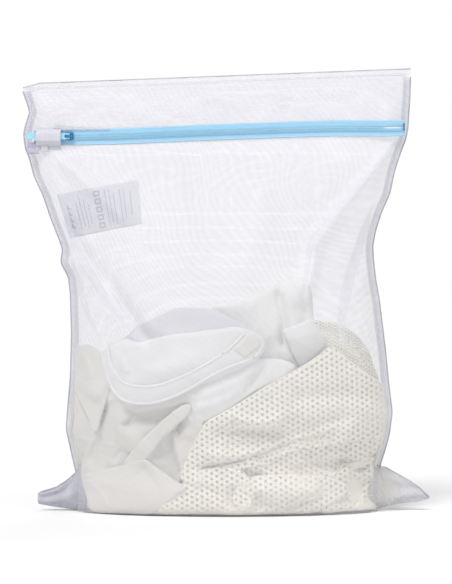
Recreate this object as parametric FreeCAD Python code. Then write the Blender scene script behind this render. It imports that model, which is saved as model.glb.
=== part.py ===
import FreeCAD, Part
import math
import os

# Mesh laundry bag with a zip mouth near its top, standing on its base with a load of washing in it.
# Millimetres. X runs across the bag, -Y is the front with the zip, +Z is up. The origin is on the
# floor under the middle of the bag. Soft pieces are plain closed solids of the right size and place.

# ---- driving dimensions ----
CLOTH = 1.0                 # thickness that stands for one layer of mesh cloth
HALF_GAP = 0.3              # from the bag's middle plane to the inner face of a panel at the side seams
SEAM_WIDTH = 8.0            # width of the overlocked bands at the sides and the bottom
SEAM_THICK = 3.0
CLEAR = 0.3                 # space between neighbouring pieces that move apart

# The bag's outline and how far it swells, at heights measured on its middle line:
# height, left edge, right edge, swell of one side, and two numbers for the section's shape
# (a higher "square" is flatter across the front, a lower "power" is blunter at the side seams).
STATIONS = [
    (48, -156, 159, 76, 2.0, 0.5),
    (85, -165, 170, 84, 2.0, 0.5),
    (130, -162, 168, 91, 2.0, 0.5),
    (185, -160, 161, 96, 2.1, 0.5),
    (240, -163, 155, 94, 2.2, 0.52),
    (280, -173, 153, 82, 2.4, 0.6),
    (318, -187, 164, 60, 2.8, 0.7),
    (352, -201, 175, 35, 4.0, 0.8),
    (363, -205, 179, 21, 7.0, 0.9),
    (374, -208, 182, 11.2, 12.0, 1.0),
    (410, -205, 188, 8, 14.0, 1.0),
    (448, -210, 190, 2, 14.0, 1.0),
]
TOP = STATIONS[-1][0]       # height of the top edge
HEM_HEIGHT = 7.0            # top hem, above the panels' cut edges
HEM_DROP = 6.0              # the hem's left end is lower than its line, over the first HEM_TURN
HEM_TURN = 18.0
TILT_START = 310.0          # above this height the cloth's lines rise towards +X
TILT = 0.040                # slope of the top edge
FOOT_DEPTH = 50.0           # half depth of the flat patch that the bag stands on
FOOT_ROWS = [(0.0, 0), (0.5, 0), (1.0, 0), (1.18, 0.5), (1.32, 9), (1.45, 26)]  # share of depth, height

# The flat bottom corners that stick out past the load: across and up, from the side seam's foot
LEFT_EAR = [(-148, 47.5), (-156, 44), (-175, 25), (-191, 19.6), (-195, 6.6), (-177, 3), (-155, 0),
            (-148, 0)]
RIGHT_EAR = [(151, 47.5), (160, 47), (171, 41), (187, 32), (199, 24), (210, 12.6), (197, 8.7),
             (176, 6.6), (157, 1.8), (151, 0.5)]

# Zip: a straight chain across the front
ZIP_Z = 390.0               # chain's height at x = 0
ZIP_SLOPE = 0.0283          # rises towards +X
ZIP_Y = -13.2               # outer face of the tape
TAPE = 0.6                  # tape thickness
TAPE_ABOVE = 7.5            # tape's width above and below the chain's middle
TAPE_BELOW = 9.0
TAPE_GAP = 0.4              # from the chain's middle to each tape's inner edge
PANEL_EDGE = 6.0            # the front panel ends this far below the chain's middle
STRIP_EDGE = 4.6            # the front strip starts this far above it
CHAIN_LEFT = -163.0         # ends of the coils
CHAIN_RIGHT = 181.0
TAPE_LEFT = -197.0          # ends of the tapes
TAPE_RIGHT = 183.0
STOP_HALF = 3.6             # half height of the end stop
STOP_LENGTH = 1.6
COIL_GAP = 0.5              # from the chain's middle to each coil
COIL_WIDTH = 2.5
COIL_HEIGHT = 1.8

# Flap: the part of the cloth above the zip that lifts when the zip is open
FLAP_LEFT = -150.0
FLAP_RIGHT = 116.0
FLAP_AXIS_Y = -1.3          # on the cloth, just under the top hem

# Slider and pull tab
SLIDER_X = -161.0           # middle of the slider with the zip closed
SLIDER_LENGTH = 9.5
SLIDER_WIDTH = 8.6
PLATE = 1.2                 # thickness of its outer plate
POST_THICK = 0.5            # the post between the coils
POST_LENGTH = 2.2
FLANGE = 0.8                # thickness of the flanges beside the coils
BRIDGE_REACH = 3.4          # half length of the bridge that holds the pull
BRIDGE_HALF = 1.1           # its half width
BRIDGE_HEIGHT = 4.1
BRIDGE_THICK = 0.8
PIN_RADIUS = 0.6
PIN_Y = -18.0
PULL_LENGTH = 43.5
PULL_WIDTH = 6.4
PULL_THICK = 1.2
PULL_HOLE = 1.3             # radius of the hole in the pull
PULL_HOLE_IN = 13.0         # from the pull's free end to its hole
PULL_SLOT = 4.6             # from the pin to the tab, along the two arms

# Elastic band over the pull tab
BAND_LEFT = -195.0
BAND_RIGHT = -169.5
BAND_MIDDLE = -182.0
BAND_THICK = 0.6
THREAD = 0.3                # half width of a row of stitches


# ---- curves and surfaces ----
def vec(x, y, z):
    return FreeCAD.Vector(x, y, z)


def blend(a, b, t):
    return a + (b - a) * t


def section(height):
    """Left edge, right edge, swell and shape numbers of the bag at a height."""
    low = STATIONS[0]
    for high in STATIONS[1:]:
        if height <= high[0]:
            break
        low = high
    if low is high:
        return high[1:]
    t = max(0.0, (height - low[0]) / (high[0] - low[0]))
    return tuple(blend(a, b, t) for a, b in zip(low[1:], high[1:]))


def rise(x, height):
    """The real height of a cloth line that is at this height on the middle line."""
    return height + TILT * max(0.0, height - TILT_START) / (TOP - TILT_START) * x


def cloth_point(across, height, side):
    """Outer face of a panel. across runs from -1 to 1 and side is -1 in front, 1 at the back."""
    left, right, swell, square, power = section(height)
    left += SEAM_WIDTH
    right -= SEAM_WIDTH
    x = (left + right) / 2 + across * (right - left) / 2
    depth = HALF_GAP + CLOTH + swell * (1 - abs(across) ** square) ** power
    return vec(x, side * depth, rise(x, height))


def foot_rows(side, spread):
    """The panel's flat bottom, from the bottom seam outwards, and the heel up to the first station."""
    rows = []
    seam_y = SEAM_WIDTH / 2 + CLEAR
    heel = FOOT_ROWS[-1][1]
    for part, lift in FOOT_ROWS:
        row = []
        for across in spread:
            low = cloth_point(across, STATIONS[0][0], side)
            round_off = (1 - across ** 2) ** 0.5
            y = seam_y + part * (2 + (FOOT_DEPTH - seam_y) * round_off)
            if lift == heel:
                y = max(y, abs(low.y))
            row.append(vec(low.x, side * y, lift))
        rows.append(row)
    return rows


def spread_of(count):
    """Places across a panel, closer together near the side seams."""
    return [math.sin(math.pi * (i / (count - 1) - 0.5)) for i in range(count)]


def surface(rows):
    """A smooth face that stays inside the net of its points."""
    u_count, v_count = len(rows), len(rows[0])
    u_degree, v_degree = min(3, u_count - 1), min(3, v_count - 1)
    u_knots = list(range(u_count - u_degree + 1))
    v_knots = list(range(v_count - v_degree + 1))
    u_mults = [u_degree + 1] + [1] * (len(u_knots) - 2) + [u_degree + 1]
    v_mults = [v_degree + 1] + [1] * (len(v_knots) - 2) + [v_degree + 1]
    face = Part.BSplineSurface()
    face.buildFromPolesMultsKnots(rows, u_mults, v_mults, u_knots, v_knots, False, False,
                                  u_degree, v_degree)
    return face


def solid_between(outer_rows, inner_rows):
    """A closed solid between two nets of points."""
    outer, inner = surface(outer_rows), surface(inner_rows)
    first_u, last_u, first_v, last_v = outer.bounds()
    faces = [outer.toShape(), inner.toShape()]
    for value in (first_u, last_u):
        faces.append(Part.makeRuledSurface(outer.uIso(value).toShape(), inner.uIso(value).toShape()))
    for value in (first_v, last_v):
        faces.append(Part.makeRuledSurface(outer.vIso(value).toShape(), inner.vIso(value).toShape()))
    shell = Part.makeShell(faces)
    shell.sewShape()
    solid = Part.makeSolid(shell)
    if solid.Volume < 0:
        solid.reverse()
    return solid


def net_normal(rows, i, j):
    up = rows[min(i + 1, len(rows) - 1)][j] - rows[max(i - 1, 0)][j]
    over = rows[i][min(j + 1, len(rows[0]) - 1)] - rows[i][max(j - 1, 0)]
    return over.cross(up).normalize()


def sheet(rows, thickness, side):
    """A sheet of cloth: the rows are its outer face and it thickens towards the bag's inside."""
    inner = []
    for i, row in enumerate(rows):
        inner.append([point + net_normal(rows, i, j) * side * thickness for j, point in enumerate(row)])
    return solid_between(rows, inner)


def zip_z(x):
    return ZIP_Z + ZIP_SLOPE * x


def zip_strip(x0, x1, low, high, y_outer, y_inner):
    """A bar along the zip, between two offsets from the chain's middle line."""
    corners = [vec(x0, y_outer, zip_z(x0) + low), vec(x1, y_outer, zip_z(x1) + low),
               vec(x1, y_outer, zip_z(x1) + high), vec(x0, y_outer, zip_z(x0) + high)]
    face = Part.Face(Part.makePolygon(corners + corners[:1]))
    return face.extrude(vec(0, y_inner - y_outer, 0))


def slab(x0, x1, y0, y1, z0, z1):
    return Part.makeBox(x1 - x0, y1 - y0, z1 - z0, vec(x0, y0, z0))


# ---- cloth ----
def front_panel():
    spread = spread_of(15)
    rows = foot_rows(-1, spread)
    top = ZIP_Z - PANEL_EDGE
    for height in [station[0] for station in STATIONS if station[0] < top] + [top]:
        rows.append([cloth_point(across, height, -1) for across in spread])
    for point in rows[-1]:
        point.z = zip_z(point.x) - PANEL_EDGE
    return sheet(rows, CLOTH, -1)


def back_panel():
    spread = spread_of(15)
    rows = foot_rows(1, spread)
    heights = [station[0] for station in STATIONS[:-1]] + [TOP - HEM_HEIGHT - CLEAR]
    for height in heights:
        rows.append([cloth_point(across, height, 1) for across in spread])
    return sheet(rows, CLOTH, 1)


def strip_piece(x0, x1):
    """A stretch of the front strip above the zip, from the tape up to the top hem."""
    rows = []
    for t in (0.0, 0.5, 1.0):
        row = []
        for i in range(5):
            x = blend(x0, x1, i / 4)
            low_z = zip_z(x) + STRIP_EDGE
            high_z = rise(x, TOP - HEM_HEIGHT - CLEAR)
            y = blend(ZIP_Y + TAPE + CLEAR, FLAP_AXIS_Y, t)
            row.append(vec(x, y, blend(low_z, high_z, t)))
        rows.append(row)
    return sheet(rows, CLOTH, -1)


def strip_end(x_free, x_seam, turn_start):
    """A fixed end of the front strip: past turn_start it goes back from the tape's plane to the seam."""
    rows = []
    for t in (0.0, 0.5, 1.0):
        row = []
        for i in range(6):
            s = i / 5
            x = blend(x_free, x_seam, s)
            low_z = zip_z(x) + STRIP_EDGE
            high_z = rise(x, TOP - HEM_HEIGHT - CLEAR)
            front_y = blend(ZIP_Y + TAPE + CLEAR, FLAP_AXIS_Y, t)
            back = max(0.0, (s - turn_start) / (1 - turn_start)) ** 2
            y = blend(front_y, -HALF_GAP - CLOTH, back)
            row.append(vec(x, y, blend(low_z, high_z, t)))
        rows.append(row if x_seam > x_free else row[::-1])
    return sheet(rows, CLOTH, -1)


def band(edge, inward, half_width, y_outer, y_inner):
    """A narrow band down one side: edge is 0 at the left and 1 at the right, inward is from the outline."""
    outer, inner = [], []
    for station in STATIONS:
        x = station[1 + edge] + (inward if edge == 0 else -inward)
        height = min(station[0], TOP - HEM_HEIGHT - CLEAR)
        for rows, y in ((outer, y_outer), (inner, y_inner)):
            rows.append([vec(x + offset, y, rise(x, height)) for offset in (-half_width, half_width)])
    return solid_between(outer, inner)


def side_seam(edge):
    """The overlocked band down one side."""
    return band(edge, SEAM_WIDTH / 2, SEAM_WIDTH / 2 - CLEAR, -SEAM_THICK / 2, SEAM_THICK / 2)


def top_hem():
    """The folded edge along the top, from corner to corner."""
    left, right = STATIONS[-1][1], STATIONS[-1][2]
    corners = []
    for x, drop in ((left, HEM_DROP), (left + HEM_TURN, 0), (right, 0)):
        corners.append(vec(x, -SEAM_THICK / 2, rise(x, TOP) - drop))
    for x in (right, left):
        corners.append(vec(x, -SEAM_THICK / 2, rise(x, TOP - HEM_HEIGHT)))
    face = Part.Face(Part.makePolygon(corners + corners[:1]))
    return face.extrude(vec(0, SEAM_THICK, 0))


def bottom_seam():
    left = STATIONS[0][1] + SEAM_WIDTH
    right = STATIONS[0][2] - SEAM_WIDTH
    return slab(left, right, -SEAM_WIDTH / 2, SEAM_WIDTH / 2, 0, 2.0)


def corner_ear(points):
    """A flat bottom corner of the empty bag, standing out past the load."""
    corners = [vec(x, -SEAM_THICK / 2, z) for x, z in points]
    face = Part.Face(Part.makePolygon(corners + corners[:1]))
    return face.extrude(vec(0, SEAM_THICK, 0))


# ---- zip ----
def tape(x0, x1, above):
    if above:
        return zip_strip(x0, x1, TAPE_GAP, TAPE_ABOVE, ZIP_Y, ZIP_Y + TAPE)
    return zip_strip(x0, x1, -TAPE_BELOW, -TAPE_GAP, ZIP_Y, ZIP_Y + TAPE)


def coil(x0, x1, above):
    """One of the two coils, as a bar with a rounded outer face."""
    sign = 1 if above else -1
    near, far = sign * COIL_GAP, sign * (COIL_GAP + COIL_WIDTH)
    bar = zip_strip(x0, x1, min(near, far), max(near, far), ZIP_Y - COIL_HEIGHT, ZIP_Y)
    edges = [edge for edge in bar.Edges
             if edge.Length > 5 and edge.BoundBox.YMax < ZIP_Y - COIL_HEIGHT + 0.01]
    return bar.makeFillet(COIL_WIDTH * 0.3, edges)


def slider_body():
    """Two plates round the coils, flanges at their edges, a post between the coils and a bridge."""
    half, wide = SLIDER_LENGTH / 2, SLIDER_WIDTH / 2
    outer_face = ZIP_Y - COIL_HEIGHT - CLEAR
    left, right = SLIDER_X - half, SLIDER_X + half
    z = zip_z(SLIDER_X)
    top = slab(left, right, outer_face - PLATE, outer_face, z - wide, z + wide)
    corners = [edge for edge in top.Edges if abs(edge.BoundBox.YLength - PLATE) < 0.01]
    top = top.makeFillet(2.4, corners)
    rim = [edge for edge in top.Edges if edge.BoundBox.YMax < outer_face - PLATE + 0.01]
    top = top.makeFillet(0.5, rim)
    inner_face = ZIP_Y + TAPE + CLEAR
    under = slab(left + 0.6, right - 0.3, inner_face, inner_face + PLATE * 0.8, z - wide, z + wide)
    corners = [edge for edge in under.Edges if abs(edge.BoundBox.YLength - PLATE * 0.8) < 0.01]
    under = under.makeFillet(2.0, corners)
    post = slab(left + 1.2, left + 1.2 + POST_LENGTH, outer_face - 0.2, inner_face + 0.2,
                z - POST_THICK / 2, z + POST_THICK / 2)
    body = top.fuse(under).fuse(post)
    for sign in (-1, 1):
        edge_z = z + sign * (wide - 0.05 - FLANGE / 2)
        flange = slab(left + 2.6, right - 2.6, outer_face - 0.2, ZIP_Y - CLEAR,
                      edge_z - FLANGE / 2, edge_z + FLANGE / 2)
        body = body.fuse(flange)
    return body.fuse(slider_bridge(z, outer_face - PLATE)).removeSplitter()


def slider_bridge(z, base_y):
    """An arch along the slider, under which the pull tab's pin turns."""
    crown_y = base_y - BRIDGE_HEIGHT
    outer = slab(SLIDER_X - BRIDGE_REACH, SLIDER_X + BRIDGE_REACH, crown_y, base_y + 0.2,
                 z - BRIDGE_HALF, z + BRIDGE_HALF)
    crown = [edge for edge in outer.Edges
             if edge.BoundBox.YMax < crown_y + 0.01 and edge.BoundBox.ZLength > 1]
    outer = outer.makeFillet(2 * BRIDGE_THICK, crown)
    inner = BRIDGE_REACH - BRIDGE_THICK
    hole = slab(SLIDER_X - inner, SLIDER_X + inner, crown_y + BRIDGE_THICK, base_y,
                z - 2 * BRIDGE_HALF, z + 2 * BRIDGE_HALF)
    return outer.cut(hole)


def pull_tab():
    """A pin under the bridge, two arms past it, and a rounded tab that points to the left."""
    z = zip_z(SLIDER_X)
    arm_in, arm_out = BRIDGE_HALF + CLEAR, PULL_WIDTH / 2
    pin = Part.makeCylinder(PIN_RADIUS, 2 * arm_out, vec(SLIDER_X, PIN_Y, z - arm_out), vec(0, 0, 1))
    y0, y1 = PIN_Y - PULL_THICK / 2, PIN_Y + PULL_THICK / 2
    body = pin
    for sign in (-1, 1):
        z0, z1 = sorted((z + sign * arm_in, z + sign * arm_out))
        body = body.fuse(slab(SLIDER_X - PULL_SLOT - 2, SLIDER_X, y0, y1, z0, z1))
    tab = slab(SLIDER_X - PULL_LENGTH, SLIDER_X - PULL_SLOT, y0, y1, z - arm_out, z + arm_out)
    corners = [edge for edge in tab.Edges
               if edge.BoundBox.XMax < SLIDER_X - PULL_LENGTH + 0.01 and edge.BoundBox.YLength > 1]
    tab = tab.makeFillet(PULL_WIDTH * 0.42, corners)
    hole_start = vec(SLIDER_X - PULL_LENGTH + PULL_HOLE_IN, PIN_Y - 2, z)
    hole = Part.makeCylinder(PULL_HOLE, 4, hole_start, vec(0, 1, 0))
    return body.fuse(tab.cut(hole)).removeSplitter()


def garage_band():
    """The elastic band over the pull tab, sewn down above and below it."""
    z = zip_z(BAND_MIDDLE)
    lift_y = PIN_Y - PULL_THICK / 2 - CLEAR - 0.3
    sewn_y = ZIP_Y - 0.1
    profile = [(sewn_y, -13), (sewn_y, -9), (lift_y, -4.4), (lift_y, 4.4), (sewn_y, 7), (sewn_y, 9.5)]
    outer = [vec(BAND_LEFT, y - BAND_THICK, z + dz) for y, dz in profile]
    inner = [vec(BAND_LEFT, y, z + dz) for y, dz in reversed(profile)]
    face = Part.Face(Part.makePolygon(outer + inner + outer[:1]))
    return face.extrude(vec(BAND_RIGHT - BAND_LEFT, 0, 0))


def end_stop():
    """The stop at the zip's open end, clamped over both coils."""
    y = ZIP_Y - COIL_HEIGHT - 0.9
    return zip_strip(CHAIN_RIGHT + 0.1, CHAIN_RIGHT + 0.1 + STOP_LENGTH, -STOP_HALF, STOP_HALF,
                     y, ZIP_Y - 0.05)


def end_patch():
    """A small folded patch of cloth below the garage band, at the zip's left end."""
    return slab(-204, -192.5, -8.2, -7.2, 366, 374.5)


# ---- label ----
LABEL_TOP = vec(-174, -9, 326)          # ends of its sewn edge
LABEL_FOOT = vec(-160.5, -9, 281)
LABEL_REACH = vec(84, -24, 15)          # from the sewn edge to the free edge


def care_label():
    outer = [LABEL_TOP, LABEL_FOOT, LABEL_FOOT + LABEL_REACH, LABEL_TOP + LABEL_REACH]
    face = Part.Face(Part.makePolygon(outer + outer[:1]))
    normal = (LABEL_FOOT - LABEL_TOP).cross(LABEL_REACH).normalize()
    return face.extrude(normal * -0.6)


# ---- threads ----
def zip_thread(x0, x1, offset):
    return zip_strip(x0, x1, offset - THREAD, offset + THREAD, ZIP_Y - 0.4, ZIP_Y - 0.02)


def hem_thread():
    y = -SEAM_THICK / 2
    left, right = STATIONS[-1][1] + 3, STATIONS[-1][2] - 3
    low = TOP - HEM_HEIGHT + 1.6
    high = low + 2 * THREAD
    corners = [vec(x, y - 0.4, rise(x, height))
               for x, height in ((left, low), (right, low), (right, high), (left, high))]
    return Part.Face(Part.makePolygon(corners + corners[:1])).extrude(vec(0, 0.38, 0))


def side_thread(edge):
    return band(edge, SEAM_WIDTH / 2, THREAD, -SEAM_THICK / 2 - 0.42, -SEAM_THICK / 2 - 0.02)


def band_threads():
    rows = []
    for offset in (-11.0, 8.3):
        z = zip_z(BAND_MIDDLE) + offset
        rows.append(slab(BAND_LEFT + 0.5, BAND_RIGHT - 0.5, ZIP_Y - 1.1, ZIP_Y - 0.72,
                         z - THREAD, z + THREAD))
    return Part.makeCompound(rows)


# ---- load ----
LOAD_ROOM = 7.0             # space between the load and the cloth round it
SIDE_POINTS = 6             # points along each side of a garment's section


def inside_depth(x, height, side, room):
    """How far a thing may reach from the middle plane at x and stay clear of the cloth."""
    left, right, swell, square, power = section(max(height, STATIONS[0][0]))
    left += SEAM_WIDTH
    right -= SEAM_WIDTH
    across = min(1.0, abs(2 * (x - (left + right) / 2) / (right - left)))
    depth = swell * (1 - across ** square) ** power
    if height < STATIONS[0][0]:
        foot = FOOT_DEPTH * (1 - across ** 2) ** 0.5
        depth = blend(foot, depth, (height / STATIONS[0][0]) ** 0.5)
    return side * max(1.5, depth - room)


def garment(x0, x1, heights, back=-1.0, front=-1.0):
    """A heap of cloth that fills the bag between x0 and x1. back and front cut it off at a depth."""
    wires = []
    for height in heights:
        left, right = section(height)[:2]
        low_x = max(x0, left + SEAM_WIDTH + LOAD_ROOM)
        high_x = min(x1, right - SEAM_WIDTH - LOAD_ROOM)
        points = []
        for side in (-1, 1):
            for i in range(SIDE_POINTS):
                t = i / (SIDE_POINTS - 1)
                x = blend(low_x, high_x, t if side < 0 else 1 - t)
                y = inside_depth(x, height, side, LOAD_ROOM)
                limit = front if side < 0 else back
                if limit >= 0:
                    y = side * min(abs(y), limit)
                points.append(vec(x, y, height))
        points.append(points[0])
        wires.append(Part.makePolygon(points))
    return Part.makeLoft(wires, True, True)


PIECES = {
    "front_panel": front_panel,
    "back_panel": back_panel,
    "front_strip": lambda: strip_piece(FLAP_LEFT, FLAP_RIGHT),
    "front_strip_left_end": lambda: strip_end(FLAP_LEFT - CLEAR, -197, 0.6),
    "front_strip_right_end": lambda: strip_end(FLAP_RIGHT + CLEAR, 175, 0.75),
    "side_seam_left": lambda: side_seam(0),
    "side_seam_right": lambda: side_seam(1),
    "top_hem": top_hem,
    "bottom_seam": bottom_seam,
    "bottom_corner_left": lambda: corner_ear(LEFT_EAR),
    "bottom_corner_right": lambda: corner_ear(RIGHT_EAR),
    "zip_tape_lower": lambda: tape(TAPE_LEFT, TAPE_RIGHT, False),
    "zip_tape_upper": lambda: tape(FLAP_LEFT, FLAP_RIGHT, True),
    "zip_tape_upper_left_end": lambda: tape(TAPE_LEFT, FLAP_LEFT - CLEAR, True),
    "zip_tape_upper_right_end": lambda: tape(FLAP_RIGHT + CLEAR, TAPE_RIGHT, True),
    "zip_coil_lower": lambda: coil(CHAIN_LEFT, CHAIN_RIGHT, False),
    "zip_coil_upper": lambda: coil(FLAP_LEFT, FLAP_RIGHT, True),
    "zip_coil_upper_left_end": lambda: coil(CHAIN_LEFT, FLAP_LEFT - CLEAR, True),
    "zip_coil_upper_right_end": lambda: coil(FLAP_RIGHT + CLEAR, CHAIN_RIGHT, True),
    "zip_end_stop": end_stop,
    "zip_slider": slider_body,
    "zip_pull_tab": pull_tab,
    "garage_band": garage_band,
    "zip_end_patch": end_patch,
    "care_label": care_label,
    "zip_stitches_lower": lambda: zip_thread(-168, 180, 0.9 - TAPE_BELOW),
    "zip_stitches_upper": lambda: zip_thread(FLAP_LEFT + 1, FLAP_RIGHT - 1, TAPE_ABOVE - 1.0),
    "top_hem_stitches": hem_thread,
    "side_stitches_left": lambda: side_thread(0),
    "side_stitches_right": lambda: side_thread(1),
    "garage_band_stitches": band_threads,
    "cream_cotton": lambda: garment(-148, -44, (2.5, 30, 60, 100, 140)),
    "cream_knit": lambda: garment(-40, 154, (2.5, 30, 60, 100, 146)),
    "white_shirt": lambda: garment(-134, 40, (150, 175, 200, 214), back=40.0),
    "grey_towel": lambda: garment(44, 104, (150, 180, 215, 240), front=46.0),
    "perforated_cloth": lambda: garment(108, 146, (150, 170, 190)),
}


def main():
    os.makedirs("parts", exist_ok=True)
    for name, make in PIECES.items():
        shape = make()
        shape.exportStep(f"parts/{name}.step")
        print(f"{name:26s} valid {shape.isValid()} solids {len(shape.Solids)} volume {shape.Volume:10.1f}")


main()
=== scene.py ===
import math

import bmesh
import bpy
import numpy as np
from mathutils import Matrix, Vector


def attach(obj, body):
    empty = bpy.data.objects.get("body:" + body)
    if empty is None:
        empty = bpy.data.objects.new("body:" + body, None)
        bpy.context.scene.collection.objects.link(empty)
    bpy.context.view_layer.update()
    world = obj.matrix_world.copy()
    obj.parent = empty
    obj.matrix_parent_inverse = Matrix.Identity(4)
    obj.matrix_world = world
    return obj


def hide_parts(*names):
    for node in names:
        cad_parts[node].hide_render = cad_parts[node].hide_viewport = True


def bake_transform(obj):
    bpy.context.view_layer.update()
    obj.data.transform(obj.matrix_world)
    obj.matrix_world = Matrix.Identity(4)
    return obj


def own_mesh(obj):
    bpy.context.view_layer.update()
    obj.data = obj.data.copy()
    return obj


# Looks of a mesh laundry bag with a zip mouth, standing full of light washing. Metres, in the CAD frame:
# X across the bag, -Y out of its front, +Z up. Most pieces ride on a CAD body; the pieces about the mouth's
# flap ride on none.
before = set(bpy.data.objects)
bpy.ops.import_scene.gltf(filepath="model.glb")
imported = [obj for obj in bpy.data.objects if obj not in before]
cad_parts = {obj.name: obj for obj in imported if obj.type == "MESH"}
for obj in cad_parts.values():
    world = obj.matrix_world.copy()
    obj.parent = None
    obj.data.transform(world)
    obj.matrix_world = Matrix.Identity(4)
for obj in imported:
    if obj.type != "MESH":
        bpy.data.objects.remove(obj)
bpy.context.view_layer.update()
MM = 0.001


# ---- the bag's shape: the same stations as the CAD source ----
# height, left edge, right edge, swell of one side, and the section's two shape numbers, in millimetres
STATIONS = np.array([
    (48, -156, 159, 76, 2.0, 0.5),
    (85, -165, 170, 84, 2.0, 0.5),
    (130, -162, 168, 91, 2.0, 0.5),
    (185, -160, 161, 96, 2.1, 0.5),
    (240, -163, 155, 94, 2.2, 0.52),
    (280, -173, 153, 82, 2.4, 0.6),
    (318, -187, 164, 60, 2.8, 0.7),
    (352, -201, 175, 35, 4.0, 0.8),
    (363, -205, 179, 21, 7.0, 0.9),
    (374, -208, 182, 11.2, 12.0, 1.0),
    (410, -205, 188, 8, 14.0, 1.0),
    (448, -210, 190, 2, 14.0, 1.0),
], dtype=float)
FIRST = STATIONS[0, 0] * MM          # height of the lowest station, where the heel ends
TOP = STATIONS[-1, 0] * MM           # height of the top edge at x = 0
SEAM_WIDTH = 0.008
HALF_GAP = 0.0010                    # half the space between the panels at the side seams
FOOT_END = 0.004                     # half depth of the flat patch that the bag stands on, at its ends
FOOT_DEPTH = 0.050                   # what the patch gains on that in the middle
HEEL = 3.2                           # how square the heel is: 2 is a quarter of an ellipse
TILT_START = 0.310                   # above this the cloth's lines rise towards +X
TILT = 0.040
ZIP_Z = 0.390
ZIP_SLOPE = 0.0283
ZIP_Y = -0.0132                      # outer face of the zip tape
ZIP_CLOTH_Y = -0.0123                # the cloth's plane behind the tape
TAPE_THICK = 0.0006
CHAIN_LEFT, CHAIN_RIGHT = -0.163, 0.181
TAPE_LEFT, TAPE_RIGHT = -0.197, 0.183
FLAP_LEFT, FLAP_RIGHT = -0.150, 0.116
FLAP_MIDDLE = (FLAP_LEFT + FLAP_RIGHT) / 2
FLAP_AXIS_Y = -0.0013


# the side seams' outer lines, x and z in millimetres, with the puckers of the sewn edge
LEFT_LINE = [(-155, 37), (-161, 63), (-165.6, 84), (-164, 106), (-161, 140), (-160, 183), (-161, 223),
             (-163, 241), (-171, 256), (-169, 270), (-175, 286), (-182, 304), (-189, 325), (-198, 344),
             (-203, 363), (-207, 373), (-209, 388), (-207, 397), (-202.5, 411), (-206, 422), (-210, 433)]
RIGHT_LINE = [(158, 37), (159.4, 48), (165.4, 67), (168.7, 80), (171.4, 102), (167.6, 132), (164.5, 164),
              (158, 217), (154, 239), (152, 257), (151, 273), (154, 289), (160, 308), (168.5, 327),
              (173, 349), (179.5, 369), (185, 383), (187, 394), (189, 425), (190, 456)]


def smoothed(values, width):
    """Values rounded off over a number of samples, as cloth would be."""
    reach = 24
    kernel = np.exp(-(np.arange(-reach, reach + 1) / width) ** 2)
    ends = np.concatenate([np.full(reach, values[0]), values, np.full(reach, values[-1])])
    return np.convolve(ends, kernel / kernel.sum(), "valid")


def smooth_sections():
    """The stations as a sample for each millimetre of height, with the edges from the seams' own lines."""
    heights = np.arange(0.0, 0.4801, MM)
    edge_rounding, swell_rounding = 3.0, 9.0
    columns = []
    for line in (LEFT_LINE, RIGHT_LINE):
        x, z = np.array(line, dtype=float).T * MM
        lean = TILT * x / (TOP - TILT_START)
        flat = np.where(z > TILT_START, (z + lean * TILT_START) / (1 + lean), z)
        columns.append(smoothed(np.interp(heights, flat, x), edge_rounding))
    for scale, column in zip((MM, 1, 1), STATIONS[:, 3:].T):
        samples = np.interp(heights, STATIONS[:, 0] * MM, column * scale)
        columns.append(smoothed(samples, swell_rounding))
    return heights, columns


HEIGHTS, SECTION_COLUMNS = smooth_sections()


def section(height):
    """Left edge, right edge, swell, square and power at heights (arrays)."""
    return [np.interp(height, HEIGHTS, column) for column in SECTION_COLUMNS]


def rise(x, height):
    """The real height of a cloth line that is at this height on the middle line."""
    return height + TILT * np.maximum(0.0, height - TILT_START) / (TOP - TILT_START) * x


# x, and how far the chain is above its straight line, in millimetres
ZIP_BEND = [(-200, 0), (-156, -0.4), (-115, -0.7), (-60, 0), (-29, 0.6), (61, 1.3), (110, 1.3), (150, 0.1),
            (165, -0.4), (186, -0.4)]


def zip_z(x):
    """The height of the zip's chain at x."""
    bend_x, bend_z = np.array(ZIP_BEND).T * MM
    return ZIP_Z + ZIP_SLOPE * x + np.interp(x, bend_x, bend_z)


def body_point(across, height, side):
    """A point on a panel above the heel: across is -1 to 1 and side is -1 in front, 1 at the back."""
    left, right, swell, square, power = section(height)
    half = (right - left) / 2 - SEAM_WIDTH / 2
    x = (left + right) / 2 + across * half
    bulge = np.maximum(1 - np.abs(across) ** square, 0.0) ** power
    return x, side * (HALF_GAP + swell * bulge), rise(x, height)


def foot_depth(across):
    """Half depth of the flat patch under the bag."""
    return FOOT_END + FOOT_DEPTH * np.sqrt(np.maximum(1 - across ** 2, 0.0))


def panel_point(across, along, side):
    """A point on a whole panel. along is 0 at the bottom seam, 1 at the foot's edge, 2 at the end of
    the heel, and then 2 plus the height above the heel in units of the bag's height."""
    x, y, z = body_point(across, np.maximum(FIRST, FIRST + (along - 2) * (TOP - FIRST)), side)
    foot = foot_depth(across)
    turn = np.clip(along - 1, 0, 1) * math.pi / 2
    heel_y = side * (foot + (np.abs(y) - foot) * np.sin(turn) ** (2 / HEEL))
    heel_z = FIRST * (1 - np.maximum(np.cos(turn), 0) ** (2 / HEEL))
    flat_y = side * foot * np.clip(along, 0, 1)
    y = np.where(along >= 2, y, np.where(along >= 1, heel_y, flat_y))
    z = np.where(along >= 2, z, np.where(along >= 1, heel_z, 0.0))
    return x, y, z


def inner_depth(x, z):
    """How far a panel's surface is from the middle plane at (x, z)."""
    height = np.maximum(z, FIRST)
    left, right, swell, square, power = section(height)
    half = (right - left) / 2 - SEAM_WIDTH / 2
    across = np.clip(np.abs(x - (left + right) / 2) / half, 0, 1)
    depth = HALF_GAP + swell * np.maximum(1 - across ** square, 0.0) ** power
    foot = foot_depth(across)
    low = np.clip(z / FIRST, 0, 1)
    return np.where(z < FIRST, foot + (depth - foot) * (1 - (1 - low) ** HEEL) ** (1 / HEEL), depth)


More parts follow.
